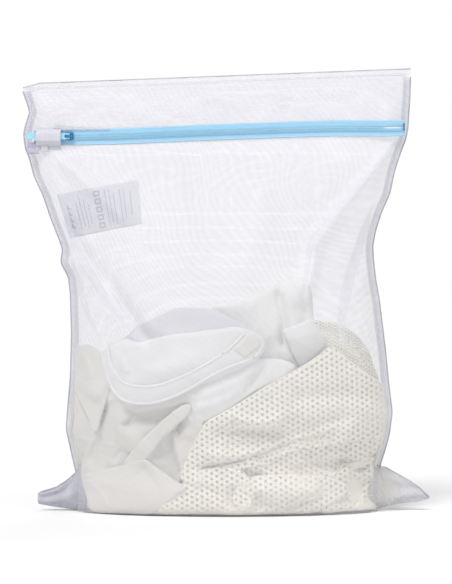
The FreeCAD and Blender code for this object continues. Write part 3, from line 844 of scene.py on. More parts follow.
def make_zip():
    """The lower half of the zip, the two halves of the upper one, and the slider's paint."""
    tape = tape_object("tape_lower", TAPE_LEFT, TAPE_RIGHT, False)
    finish_piece(tape, ZIP_TAPE, "bag", "zip_tape", ("zip_tape_lower",))
    coil = coil_object("coil_lower", CHAIN_LEFT, CHAIN_RIGHT, False)
    finish_piece(coil, ZIP_COIL, "bag", "zip_coil", ("zip_coil_lower",))
    row = zip_row("stitches_tape_lower", -0.168, 0.180, -0.0081)
    finish_piece(row, THREAD, "bag", "thread", ("zip_stitches_lower",))
    halves = (("left", TAPE_LEFT, CHAIN_LEFT, FLAP_LEFT), ("right", TAPE_RIGHT, CHAIN_RIGHT, FLAP_RIGHT))
    for side, tape_end, chain_end, flap_end in halves:
        tape = tape_object("tape_upper_" + side, *sorted((tape_end, FLAP_MIDDLE)), True)
        coil = coil_object("coil_upper_" + side, *sorted((chain_end, FLAP_MIDDLE)), True)
        row = zip_row("stitches_tape_upper_" + side, *sorted((tape_end, FLAP_MIDDLE)), 0.0065)
        finish_piece(tape, ZIP_TAPE, None, "zip_tape", ("zip_tape_upper_%s_end" % side,))
        finish_piece(coil, ZIP_COIL, None, "zip_coil", ("zip_coil_upper_%s_end" % side,))
        finish_piece(row, THREAD, None, "thread")
        for piece in (tape, coil, row):
            across_flap(piece, flap_end)
        if side == "left":
            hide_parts("zip_tape_upper")
            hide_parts("zip_coil_upper")
            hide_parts("zip_stitches_upper")
    for name, material in (("zip_slider", SLIDER_PAINT), ("zip_pull_tab", PULL_PAINT),
                           ("zip_end_stop", SLIDER_PAINT)):
        dress(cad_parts[name], material)


ELASTIC_X = -0.182
ELASTIC_Z = zip_z(ELASTIC_X)         # height of the elastic's middle


def make_elastic():
    """The elastic over the pull tab, ribbed and arched."""
    lift = ZIP_Y - 0.0060
    # height from the band's middle in millimetres, and depth
    profile = np.array([(-13.0, ZIP_Y - 0.0002), (-9.5, ZIP_Y - 0.0003), (-8.4, ZIP_Y - 0.0006),
                        (-5.0, lift), (-3.4, lift - 0.0006), (0, lift - 0.0008), (3.4, lift - 0.0006),
                        (5.0, lift), (7.2, ZIP_Y - 0.0006), (8.2, ZIP_Y - 0.0003), (9.5, ZIP_Y - 0.0002)])
    rounding = 3
    line = spots_at(np.linspace(0, 1, 60), np.linspace(0, 1, len(profile)), profile)
    window = 2 * rounding + 1
    y = np.convolve(np.pad(line[:, 1], rounding, "edge"), np.ones(window) / window, "valid")
    grid_x, grid_z = np.meshgrid(np.linspace(-0.195, -0.1695, 52), ELASTIC_Z + line[:, 0] * MM)
    ribs = 0.00016 * np.sin(grid_x / ELASTIC_RIB * 2 * math.pi)
    grid_y = np.broadcast_to(y[:, None], grid_x.shape) - ribs - 0.0004
    band = grid_object("elastic_band", grid_x, grid_y, grid_z, (grid_x, grid_z))
    shaped(band, thick(0.0006))
    finish_piece(band, ELASTIC, "bag", "elastic", ("garage_band",))
    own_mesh(band)


def make_band_stitches():
    """The rows of stitches below and above the elastic."""
    for index, offset in enumerate((-0.0111, 0.0085)):
        path = path_of(np.linspace(-0.1945, -0.170, 8), ZIP_Y - 0.0009, ELASTIC_Z + offset)
        row = stitch_row("stitches_band_%d" % (index + 1), path)
        finish_piece(row, THREAD, "bag", "thread", ("garage_band_stitches",) if index == 0 else ())


def make_end_patch():
    """The little folded patch below the zip's left end, and the tag beside it."""
    x, t = np.meshgrid(np.linspace(-0.204, -0.1925, 16), np.linspace(0, 1, 16))
    z = 0.3675 + 0.0115 * t
    y = -0.0132 - 0.0012 * t - 0.0005 * np.sin(t * 9) - 0.0004 * np.cos((x + 0.2) * 700)
    patch = grid_object("end_patch", x, y, z, (x, z))
    shaped(patch, thick(0.0009))
    finish_piece(patch, PATCH_CLOTH, "bag", "seam_band", ("zip_end_patch",))
    x, t = np.meshgrid(np.linspace(-0.1900, -0.1825, 14), np.linspace(0, 1, 14))
    y = -0.0146 - 0.0006 * np.sin(3 * t) + 0 * x
    tag = grid_object("end_tag", x, y, 0.3695 + 0.0085 * t, (x, t * 0.009))
    shaped(tag, thick(0.0008))
    finish_piece(tag, ELASTIC, "bag", "elastic", ("garage_band",))


def make_tape_fold():
    """The little pleat of cloth that stands over the upper tape beside the slider."""
    left, right = -0.1765, -0.1190
    x, t = np.meshgrid(np.linspace(left, right, 60), np.linspace(0, 1, 10))
    fade = (x - right) / (left - right)
    z = zip_z(x) + 0.0060 + t * (0.0010 + 0.0062 * fade ** 1.3)
    y = ZIP_Y - 0.0008 - 0.0016 * t * fade
    pleat = grid_object("tape_fold", x, y, z, (x, z))
    shaped(pleat, thick(0.0005))
    finish_piece(pleat, SEAM_BAND, None, "mesh_cloth")
    across_flap(pleat, FLAP_LEFT)


make_zip()
make_elastic()
make_band_stitches()
make_end_patch()
make_tape_fold()


# ---- care label ----
def label_point(u, v):
    """A point of the label: u from its sewn edge to its free edge, v from its foot to its top."""
    top, foot = np.array([-0.174, -0.009, 0.326]), np.array([-0.1605, -0.009, 0.281])
    reach = np.array([0.0745, -0.024, 0.015])
    widen = np.array([0.0095, 0, 0])
    u, v = np.asarray(u)[..., None], np.asarray(v)[..., None]
    point = foot + (top - foot) * v + (reach + widen * v) * u
    bow = 0.0022 * np.sin(math.pi * u[..., 0]) * np.cos(2.5 * (v[..., 0] - 0.4))
    point[..., 1] -= bow
    return point


def label_mark(u, v, size_u, size_v):
    """A small printed bar, as a thin plate on the label."""
    lift = 0.00035
    grid_u, grid_v = np.meshgrid(np.linspace(u, u + size_u, 4), np.linspace(v, v + size_v, 4))
    point = label_point(grid_u, grid_v)
    point[..., 1] -= lift
    return point.reshape(-1, 3), grid_faces(4, 4)


# rows of print on the label: distance from its sewn edge, and where each row starts and ends
LABEL_LINES = [(0.19, 0.15, 0.75), (0.24, 0.20, 0.90), (0.29, 0.15, 0.80), (0.34, 0.2, 0.7),
               (0.57, 0.10, 0.90), (0.62, 0.16, 0.88), (0.67, 0.10, 0.80), (0.75, 0.14, 0.86),
               (0.80, 0.20, 0.84), (0.88, 0.24, 0.76)]


def label_words():
    """The rows of print, each broken into bars of drawn lengths."""
    draw = np.random.default_rng(8)
    for start, low, high in LABEL_LINES:
        while low < high:
            size = draw.uniform(0.03, 0.09)
            yield label_mark(start, low, 0.011, min(size, high - low))
            low += size + 0.025


def label_signs():
    """Five square outlines in a column, and four small L shapes beside them."""
    for index in range(5):
        u, v = 0.435, 0.08 + 0.18 * index
        yield label_mark(u, v, 0.014, 0.12)
        yield label_mark(u + 0.06, v, 0.014, 0.12)
        yield label_mark(u, v, 0.07, 0.022)
        yield label_mark(u, v + 0.10, 0.07, 0.022)
    for index in range(4):
        u, v = 0.075, 0.20 + 0.14 * index
        yield label_mark(u, v, 0.016, 0.10)
        yield label_mark(u, v, 0.045, 0.022)


def make_label():
    """The label and its print, which is plain bars and no lettering."""
    grid_u, grid_v = np.meshgrid(np.linspace(0, 1, 48), np.linspace(0, 1, 26))
    point = label_point(grid_u, grid_v)
    uv = (grid_u * 0.086, grid_v * 0.047)
    label = grid_object("label", point[..., 0], point[..., 1], point[..., 2], uv)
    shaped(label, thick(0.0003))
    finish_piece(label, LABEL_CLOTH, "label", "label_ribbon", ("care_label",))
    marks = joined("label_marks", [*label_words(), *label_signs()])
    finish_piece(marks, LABEL_PRINT, "label", "label_ribbon")


make_label()


# ---- the load: light washing pushed into the bag ----
ROOM = 0.006                         # space between the load and the cloth round it
TOUCH = 0.0018                       # the least space between them, where the net presses on the load
EAR_HEIGHT = 0.045                   # top of the empty bottom corners
STEP_REACH = 0.020                   # how far from its edge an overlapped layer comes back up
CLOTH_THICK = 0.0012
FLOOR_GAP = 0.0025                   # the heaps stay this far above the ground


def smooth_line(points, count=240, closed=True):
    """A soft curve through given points, evenly sampled."""
    points = np.array(points, dtype=float) * MM
    if closed:
        points = np.vstack([points[-1:], points, points[:2]])
    else:
        points = np.vstack([2 * points[0] - points[1], points, 2 * points[-1] - points[-2]])
    line = []
    per_span = 12                    # samples between two of the points
    for a, b, c, d in zip(points, points[1:], points[2:], points[3:]):
        for t in np.arange(per_span) / per_span:
            line.append(0.5 * (2 * b + (c - a) * t + (2 * a - 5 * b + 4 * c - d) * t ** 2
                               + (3 * b - a - 3 * c + d) * t ** 3))
    if not closed:
        line.append(points[-2])
    line = np.array(line)
    if closed:
        line = np.vstack([line, line[:1]])
    steps = lengths_along(line)
    return spots_at(np.linspace(0, steps[-1], count), steps, line)


def edge_distance(x, z, line):
    """Signed distance to a closed line, positive outside, and the outward direction at its nearest point."""
    spots = np.stack([x.ravel(), z.ravel()], axis=1)
    best = np.full(len(spots), 1e9)
    nearest = np.zeros_like(spots)
    inside = np.zeros(len(spots), dtype=bool)
    for a, b in zip(line[:-1], line[1:]):
        step = b - a
        t = np.clip(((spots - a) @ step) / max(step @ step, 1e-15), 0, 1)
        near = a + t[:, None] * step
        gap = np.linalg.norm(spots - near, axis=1)
        closer = gap < best
        best[closer] = gap[closer]
        nearest[closer] = near[closer]
        crosses = (a[1] > spots[:, 1]) != (b[1] > spots[:, 1])
        with np.errstate(divide="ignore", invalid="ignore"):
            at = a[0] + (spots[:, 1] - a[1]) * step[0] / step[1]
        inside ^= crosses & (spots[:, 0] < at)
    out = spots - nearest
    out[inside] *= -1
    length = np.maximum(np.linalg.norm(out, axis=1, keepdims=True), 1e-9)
    signed = np.where(inside, -best, best)
    return signed.reshape(x.shape), (out / length).reshape(*x.shape, 2)


def turned_under(x, z, line, radius):
    """In-plane places and extra depth of a sheet whose rim is folded back under itself along a line."""
    signed, out = edge_distance(x, z, line)
    angle = np.clip((signed + radius) / radius, 0, math.pi)
    flat = np.where(signed < -radius, signed, -radius + radius * np.sin(angle))
    past = np.maximum(0, signed + radius - math.pi * radius)
    move = flat - past - signed
    return x + out[..., 0] * move, z + out[..., 1] * move, radius * (1 - np.cos(angle)), signed


def front_y(x, z, back=0.0, room=ROOM):
    """A smooth front inside the bag's front panel, pushed back by some depth. At the foot it comes closer
    to the cloth that it stands on."""
    least = 0.25
    near = np.clip(least + z / 0.030, least, 1)
    return -np.maximum(inner_depth(x, z) - (room + back) * near, 0.001)


def inside_seams(x, z):
    """Places kept inside the side seams and just above the floor. Below EAR_HEIGHT the load's left edge
    draws in and its right edge bulges into the empty corner."""
    left, right = section(np.maximum(z, EAR_HEIGHT))[:2]
    low = np.clip((EAR_HEIGHT - z) / EAR_HEIGHT, 0, 1)
    draw_in, lobe = 0.013 * low, 0.028 * np.clip(4 * low, 0, 1)
    return np.clip(x, left + ROOM + draw_in, right - ROOM + lobe), np.maximum(z, 0.0020)


def pressed(y, x, z):
    """Depths held behind the net, which flattens the folds that touch it."""
    wall = front_y(x, z, 0.0, TOUCH)
    soft = 0.0008
    return wall + soft * np.logaddexp(0, (y - wall) / soft)


def line_relief(x, z, points, width, height, step=0.0):
    """A ridge along an open line. Where step isn't 0, it is an overlap instead: the cloth to the line's
    right, or to its left if step is negative, lies lower and comes back up over STEP_REACH."""
    line = smooth_line(points, 60, closed=False)
    spots = np.stack([x, z], axis=-1)
    best = np.full(x.shape, 1e9)
    side = np.zeros(x.shape)
    fade = np.zeros(x.shape)
    for index, (a, b) in enumerate(zip(line[:-1], line[1:])):
        d = b - a
        t = np.clip(((spots - a) @ d) / (d @ d), 0, 1)
        off = spots - (a + t[..., None] * d)
        gap = np.linalg.norm(off, axis=-1)
        closer = gap < best
        best = np.where(closer, gap, best)
        side = np.where(closer, np.sign(d[0] * off[..., 1] - d[1] * off[..., 0]), side)
        place = (index + t) / (len(line) - 1)
        fade = np.where(closer, np.clip(np.minimum(place, 1 - place) / 0.15, 0, 1), fade)
    fade = eased(fade)
    if step:
        below = 0.5 - math.copysign(0.5, step) * np.tanh(side * best / width)
        return -abs(step) * fade * below * np.exp(-best / STEP_REACH)
    return height * fade * np.exp(-(best / width) ** 2)


def relief_of(x, z, seed, lines, rough=0.0012):
    """The relief of crumpled cloth with these folds."""
    total = rough * (ridges(x, z, seed) - 0.9)
    for line in lines:
        total = total + line_relief(x, z, *line)
    return total


def laid_sheet(name, outline, back, lines, seed, radius=0.0022, pitch=0.0017, rough=0.0030, side=-1):
    """A sheet of cloth lying against the bag's front, its rim turned under along the outline. With side
    at 1 it lies against the back."""
    line = smooth_line(outline)
    margin = math.pi * radius + 0.006
    low = line.min(axis=0) - margin
    high = line.max(axis=0) + margin
    grid_x, grid_z = np.meshgrid(np.arange(low[0], high[0], pitch), np.arange(low[1], high[1], pitch))
    x, z, depth, signed = turned_under(grid_x, grid_z, line, radius)
    x, z = inside_seams(x, z)
    keep = signed < margin - 0.001
    relief = relief_of(x, z, seed, lines, rough) * (depth < 1.5 * radius)
    y = -side * pressed(front_y(x, z, back) + depth - relief, x, z)
    faces = [f for f in grid_faces(*grid_x.shape) if keep.ravel()[list(f)].all()]
    used = np.unique(np.array(faces).ravel())
    index = {old: new for new, old in enumerate(used)}
    points = np.stack([x, y, z], axis=-1).reshape(-1, 3)[used]
    uv = np.stack([grid_x, grid_z], axis=-1).reshape(-1, 2)[used]
    piece = mesh_object(name, points, [tuple(index[i] for i in f) for f in faces], uv)
    if side > 0:
        piece.data.flip_normals()
    shaped(piece, SOFTER, FINER, thick(CLOTH_THICK, 1.0))
    span = line.max(axis=0) - line.min(axis=0)
    return piece, len(faces) * pitch ** 2, span + 2 * margin


def heap(name, x0, x1, z0, z1, front, back, seed, rough, front_room):
    """A heap of crumpled cloth that fills the bag from x0 to x1, between a front and a back depth."""
    back_room = 0.020
    turns, rows = 240, 120
    t = np.linspace(0, 1, rows)[:, None]
    angle = np.linspace(0, 2 * math.pi, turns, endpoint=False)[None, :]
    lift = 0.5 - 0.5 * np.cos(math.pi * t)
    z = z0 + (z1 - z0) * lift
    shrink = np.sin(np.clip(math.pi * t, 0.02, math.pi - 0.02)) ** 0.30
    left, right = section(np.maximum(z, FIRST))[:2]
    low = np.maximum(x0, left + ROOM)
    high = np.minimum(x1, right - ROOM)
    across = np.sign(np.cos(angle)) * np.abs(np.cos(angle)) ** 0.75
    x = (low + high) / 2 + (high - low) / 2 * across * shrink
    z = z + 0 * x
    side = np.sin(angle) + 0 * x
    room = np.where(side < 0, front_room, back_room)
    limit = np.where(side < 0, front, back)
    reach = np.minimum(inner_depth(x, z) - room, limit)
    y = np.sign(side) * np.abs(side) ** 0.6 * np.maximum(reach, 0.002) * shrink
    crumple = 2 * rough * (0.5 * ridges(x + 0.7 * y, z, seed) + 0.5 * ridges(y, z - x, seed + 1) - 1.2)
    crumple = np.minimum(crumple, 0.001)
    y = y + np.sign(side) * crumple * np.abs(side) ** 0.5
    x = x + 0.35 * crumple * across
    z = np.maximum(z, FLOOR_GAP)
    piece = grid_object(name, x, y, z, (x + y, z), closed=True)
    close_ends(piece, rows, turns)
    return piece


def close_ends(piece, rows, turns):
    """Caps the first and last loops of a closed grid."""
    work = bmesh.new()
    work.from_mesh(piece.data)
    work.verts.ensure_lookup_table()
    for start, order in ((0, -1), ((rows - 1) * turns, 1)):
        work.faces.new([work.verts[start + i] for i in range(turns)][::order])
    work.to_mesh(piece.data)
    work.free()


# outlines and folds are (x, z) in millimetres, as seen from the front
SHIRT_DOME = [(-119, 150), (-117, 173), (-110, 176), (-98, 184), (-91, 191), (-79, 197), (-66, 203),
              (-52, 210), (-28, 211), (-10, 208), (9, 198), (24, 190), (34, 180), (20, 160), (-40, 140),
              (-90, 130)]
SHIRT_DOME_FOLDS = [([(-100, 186), (-80, 176), (-60, 172)], 0.0030, 0.003),
                    ([(-84, 196), (-60, 184), (-20, 186)], 0.0060, 0.003)]
SHIRT = [(-120, 168), (-118, 173), (-110, 176), (-101, 179), (-90, 176), (-76, 179), (-60, 184), (-42, 186),
         (-22, 188), (-6, 190), (9, 192), (24, 188), (34, 182), (38, 173), (30, 160), (14, 152), (-8, 142),
         (-40, 130), (-70, 122), (-90, 119), (-104, 124), (-112, 134), (-119, 150)]
SHIRT_FOLDS = [([(-101, 176), (-106, 160), (-98, 144)], 0.0030, 0.003),
               ([(-93, 146), (-60, 149), (-28, 164)], 0.008, 0.003)]
HEM_OUT = [(-126, 166), (-119, 138), (-110, 122), (-98, 116), (-80, 115), (-60, 119.5), (-40, 129),
           (-20, 141), (0, 151.5), (18, 158), (29, 163), (36, 174), (35, 181), (26, 188)]
HEM_IN = [(-120, 170), (-118, 158), (-113, 146), (-104, 136), (-89, 132), (-69, 133.5), (-48, 141),
          (-26, 152), (-6, 164.5), (8, 176), (19, 187)]
SLEEVE = [(-43, 127), (-39, 116), (-37.5, 98), (-29, 96), (-16, 100), (0, 109), (14, 118), (32, 130),
          (48, 137), (62, 146), (68, 153), (54, 159), (34, 160), (20, 161), (6, 157), (-10, 150), (-28, 140)]
SLEEVE_FOLDS = [([(-30, 122), (0, 132), (34, 152)], 0.006, 0.0035),
                ([(-36, 108), (-6, 118), (24, 136)], 0.005, 0.003),
                ([(16, 126), (30, 142), (40, 156)], 0.004, -0.003)]
TOWEL = [(-16, 150), (-16, 206), (4, 216), (22, 222), (38, 228), (52, 234), (66, 239), (76, 238), (85, 230),
         (87, 212), (89, 194), (98, 178), (108, 166), (104, 140), (40, 130), (0, 135)]
TOWEL_FOLDS = [([(26, 222), (24, 200), (24, 176)], 0.005, 0.0025),
               ([(50, 232), (56, 205), (58, 165)], 0.004, -0.006),
               ([(62, 235), (66, 212), (70, 180)], 0.006, 0.005),
               ([(80, 232), (80, 210), (84, 190)], 0.005, -0.002)]
TOWEL_CORNER = [(58, 188), (72, 193), (86, 198), (94, 188), (101, 175), (90, 162), (76, 151), (68, 162),
                (62, 176)]
POINTELLE = [(84, 196), (100, 196), (114, 194), (127, 187), (138, 177), (147, 164), (152, 150), (157, 132),
             (140, 120), (100, 130), (84, 160)]
POINTELLE_FOLDS = [([(121, 186), (120, 172), (122, 156)], 0.003, 0.002)]
COTTON = [(-150, 168), (-140, 171), (-128, 165), (-112, 160), (-80, 156), (-30, 150), (-22, 120), (-30, 60),
          (-46, 34), (-64, 8), (-80, 2.5), (-110, 2.5), (-136, 2.5), (-150, 30), (-160, 80), (-157, 130)]
COTTON_FLAP = [(-149, 35), (-130, 43), (-106, 50), (-84, 57), (-72, 50), (-58, 40), (-42, 29), (-50, 22),
               (-64, 11), (-78, 2.5), (-110, 2.5), (-137, 2.5), (-143, 16)]
COTTON_FLAP_FOLDS = [([(-150, 30), (-110, 30), (-60, 20)], 0.010, 0.002),
                     ([(-146, 36), (-128, 22), (-118, 4)], 0.0020, 0.0016),
                     ([(-86, 54), (-70, 34), (-58, 8)], 0.0030, 0, 0.003)]
COTTON_CORNER = [(-157, 166), (-150, 171), (-138, 172), (-129, 164), (-121, 150), (-116, 136), (-121, 118),
                 (-127, 100), (-133, 84), (-142, 100), (-152, 118), (-158, 130)]
COTTON_CORNER_FOLDS = [([(-154, 131), (-140, 120), (-129, 117), (-117, 136)], 0.0028, 0, 0.005),
                       ([(-148, 165), (-140, 150), (-138, 136)], 0.0035, 0.003)]
COTTON_RIB = [(-103, 53), (-92, 69), (-80, 82), (-62, 99), (-44, 113), (-36, 112), (-40, 103), (-54, 90),
              (-68, 76), (-80, 60), (-94, 50)]
COTTON_FOLDS = [
    # the upper fold over the dark hollow, the ribs that leave it, and the creases of the pressed cloth
    ([(-110, 90), (-94, 102), (-76, 108), (-58, 110), (-36, 117)], 0.0014, 0, 0.014),
    ([(-82, 54), (-72, 74), (-60, 97)], 0.0018, 0.005),
    ([(-60, 97), (-54, 76), (-50, 58), (-38, 20)], 0.0014, 0, 0.012),
    ([(-62, 96), (-72, 76), (-78, 56)], 0.0011, 0, -0.006),
    ([(-58, 95), (-47, 60), (-38, 30)], 0.0011, 0.0022),
    ([(-104, 110), (-86, 100), (-70, 98), (-50, 104)], 0.0050, -0.010),
    ([(-108, 70), (-96, 62), (-84, 60)], 0.0016, 0, 0.006),
    ([(-110, 120), (-110, 86), (-110, 50)], 0.0013, 0, 0.005),
    ([(-157, 130), (-146, 106), (-133, 84), (-146, 46)], 0.0014, 0, -0.008),
    ([(-118, 118), (-126, 98), (-133, 84), (-142, 60), (-152, 36)], 0.0016, 0, 0.008),
    ([(-158, 77), (-132, 73), (-107, 69)], 0.0016, 0.0012),
    ([(-45, 98), (-50, 84)], 0.0030, -0.012),
]
SHIRT_INSIDE = [(8, 171), (15, 177), (23, 184), (29, 181), (34, 175), (27, 169), (19, 163), (13, 166)]
KNIT = [(107, 171), (92, 162), (74, 151), (48, 137), (28, 125), (4, 110), (-14, 101), (-24, 92), (-32, 76),
        (-42, 56), (-46, 40), (-40, 33), (-26, 34), (-4, 40), (20, 49), (40, 53), (66, 65), (90, 69),
        (126, 74), (156, 76), (168, 82), (169, 96), (166, 110), (160, 130), (146, 141), (126, 156)]
KNIT_FOLDS = [([(0, 106), (20, 98), (44, 96), (60, 104)], 0.0050, 0.005),
              ([(-20, 84), (20, 86), (60, 84), (100, 96), (140, 104)], 0.0060, -0.006),
              ([(-34, 66), (10, 62), (40, 70), (90, 84)], 0.0060, 0.005),
              ([(-40, 50), (-10, 54), (30, 62), (70, 78), (120, 84)], 0.0022, 0, 0.007),
              ([(-6, 78), (30, 76), (66, 84), (100, 92)], 0.0026, 0, 0.006),
              ([(-20, 92), (16, 88), (50, 96), (84, 106)], 0.0030, 0, 0.005),
              ([(0, 96), (30, 90), (60, 92)], 0.0030, 0, 0.006),
              ([(60, 120), (110, 124), (150, 118)], 0.0080, -0.005),
              ([(-30, 48), (10, 52), (40, 60)], 0.0040, -0.005)]
KNIT_UNDER = [(-44, 44), (-20, 60), (40, 80), (120, 92), (162, 92), (168, 60), (170, 30), (168, 8),
              (140, 2.5), (60, 2.5), (-30, 2.5), (-62, 2.5), (-50, 24)]
KNIT_MIDDLE = [(-14, 34), (-10, 52), (20, 64), (52, 72), (76, 82), (102, 86), (140, 88), (164, 88), (166, 62),
               (154, 50), (140, 47), (126, 42), (110, 36), (84, 32), (50, 30), (14, 28)]
KNIT_MIDDLE_FOLDS = [([(60, 46), (90, 56), (130, 60), (160, 66)], 0.0030, 0, 0.008),
                     ([(76, 70), (80, 56), (100, 46), (128, 44)], 0.0026, 0, -0.008),
                     ([(16, 60), (22, 48), (40, 42)], 0.0026, 0, 0.008),
                     ([(100, 62), (124, 60), (150, 52)], 0.0040, 0.006)]
KNIT_LOBE = [(10, 30), (16, 37), (34, 41), (60, 42), (88, 40), (110, 36), (121, 30), (124, 22), (116, 15),
             (104, 9), (88, 2.5), (50, 2.5), (14, 2.5), (7, 14)]
KNIT_LOBE_FOLDS = [([(24, 26), (56, 26), (100, 24)], 0.0110, 0.008),
                   ([(30, 4), (27, 18), (34, 27)], 0.0022, 0, 0.010),
                   ([(60, 4), (80, 14), (100, 20)], 0.0040, -0.006)]
KNIT_TAIL = [(-42, 36), (-52, 24), (-62, 15), (-74, 8), (-72, 2.5), (-40, 2.5), (-10, 2.5), (22, 2.5),
             (26, 20), (22, 40), (6, 50), (-12, 50), (-30, 46)]
KNIT_TAIL_FOLDS = [([(-34, 30), (-12, 24), (6, 6)], 0.0040, -0.003),
                   ([(4, 34), (2, 18), (8, 6)], 0.0030, 0, -0.008)]
KNIT_CORNER = [(112, 40), (126, 50), (142, 56), (158, 56), (168, 44), (176, 30), (178, 16), (168, 5),
               (150, 2.5), (120, 2.5), (96, 2.5), (98, 12), (108, 24)]
KNIT_CORNER_FOLDS = [([(128, 46), (138, 45), (146, 49)], 0.0040, -0.012),
                     ([(126, 24), (133, 27), (139, 22)], 0.0045, -0.014),
                     ([(150, 50), (152, 32), (160, 12)], 0.0040, 0.006),
                     ([(104, 16), (124, 13), (146, 9), (170, 10)], 0.0030, 0, -0.009),
                     ([(124, 40), (136, 36), (148, 30)], 0.0030, 0, 0.008)]


KNIT_TURN = 0.0026                   # radius of the openwork's turned rim
KNIT_TILT = 0.55                     # how far its rows are turned, in radians
KNIT_MERGE = 0.0002                  # corners of two cells this close are one
KNIT_RIDGE, KNIT_HOLLOW = 0.0005, -0.0003   # how far it stands out between the holes and at their rims


def knit_centres(line, pitch, row_step, turn, margin):
    """Centres of the holes in staggered, turned rows, out to a margin beyond a closed line."""
    low = line.min(axis=0) - 0.02
    high = line.max(axis=0) + 0.02
    count = int(np.linalg.norm(high - low) / 2 / row_step) + 1
    centres = []
    for row in range(-count, count + 1):
        for column in range(-count, count + 1):
            centres.append(((column + 0.5 * (row % 2)) * pitch, row * row_step))
    centres = np.array(centres) @ turn + (low + high) / 2
    signed, _ = edge_distance(centres[:, 0], centres[:, 1], line)
    return centres[signed < margin]


def knit_cells(centres, corner, rim):
    """Points, faces and lifts of hexagons with a hole in each. Neighbours share their corners."""
    points, faces, lifts, index = [], [], [], {}
    around = [(i, j) for i in (-1, 0, 1) for j in (-1, 0, 1)]
    for centre in centres:
        outer = []
        for offset in corner:
            spot = centre + offset
            key = tuple(np.round(spot / KNIT_MERGE).astype(int))
            near = [k for k in ((key[0] + i, key[1] + j) for i, j in around) if k in index]
            if near:
                outer.append(index[near[0]])
                continue
            index[key] = len(points)
            outer.append(len(points))
            points.append(spot)
            lifts.append(KNIT_RIDGE)
        first = len(points)
        points.extend(centre + rim)
        lifts.extend([KNIT_HOLLOW] * 6)
        for k in range(6):
            n = (k + 1) % 6
            faces.append((outer[n], outer[k], first + k, first + n))
    return np.array(points), faces, np.array(lifts)


def knit_sheet(name, outline, back, lines, seed, pitch=0.0059, hole=0.00120):
    """Cloth with an openwork pattern of small holes in staggered rows, its rim turned under."""
    line = smooth_line(outline)
    margin = math.pi * KNIT_TURN + 0.004
    row_step = pitch * math.sqrt(3) / 2
    corner = np.array([(math.sin(a), math.cos(a)) for a in np.arange(6) * math.pi / 3]) * pitch / math.sqrt(3)
    rim = corner / np.linalg.norm(corner[0]) * hole
    cosine, sine = math.cos(KNIT_TILT), math.sin(KNIT_TILT)
    turn = np.array([[cosine, sine], [-sine, cosine]])
    centres = knit_centres(line, pitch, row_step, turn, margin)
    flat, faces, lifts = knit_cells(centres, corner @ turn, rim @ turn)
    x, z, depth, _ = turned_under(flat[:, 0], flat[:, 1], line, KNIT_TURN)
    x, z = inside_seams(x, z)
    relief = relief_of(x, z, seed, lines) * (depth < KNIT_TURN)
    y = pressed(front_y(x, z, back) + depth - relief, x, z) - lifts
    piece = mesh_object(name, path_of(x, y, z), faces, flat)
    shaped(piece, thick(0.0009), FINER)
    area = len(centres) * pitch * row_step
    return piece, area, line.max(axis=0) - line.min(axis=0) + 2 * margin


# each garment's material, its slot and the CAD node that its pieces stand for
GARMENTS = {
    "cotton": (CREAM_COTTON, "cream_cotton", "cream_cotton"),
    "shirt": (WHITE_COTTON, "white_cotton", "white_shirt"),
    "towel": (GREY_TERRY, "grey_terry", "grey_towel"),
    "knit": (CREAM_KNIT, "cream_knit", "cream_knit"),
    "pointelle": (CREAM_KNIT, "cream_knit", "perforated_cloth"),
}


def lay(sheet, garment, material=None):
    """Finishes a sheet of the load with its garment's material, hides the garment's CAD node and hangs the
    sheet on the bag.
    """
    piece, area, span = sheet
    usual, slot, replaced = GARMENTS[garment]
    finish_piece(piece, material or usual, "bag", slot, (replaced,))


def make_hem():
    """The shirt's rolled double hem: a flat band between two piped edges."""
    outer = smooth_line(HEM_OUT, 120, closed=False)
    inner = smooth_line(HEM_IN, 120, closed=False)
    mix = np.linspace(0, 1, 14)[None, :, None]
    flat = outer[:, None] * (1 - mix) + inner[:, None] * mix
    x, z = flat[..., 0], flat[..., 1]
    y = front_y(x, z, 0.0015) - 0.0012 * np.sin(math.pi * mix[..., 0]) + 0 * x
    band = grid_object("shirt_hem", x, y, z, (x, z))
    shaped(band, FINER, thick(CLOTH_THICK, -1.0))
    finish_piece(band, HEM_COTTON, "bag", "white_cotton", ("white_shirt",))
    pipes = []
    for share, radius in ((0, 0.0016), (0.24, 0.0008), (0.60, 0.0011), (1, 0.0017)):
        x, z = (outer * (1 - share) + inner * share).T
        pipes.append(tube(path_of(x, front_y(x, z, 0.0006), z), radius, 8))
    finish_piece(joined("shirt_piping", pipes), WHITE_COTTON, "bag", "white_cotton")


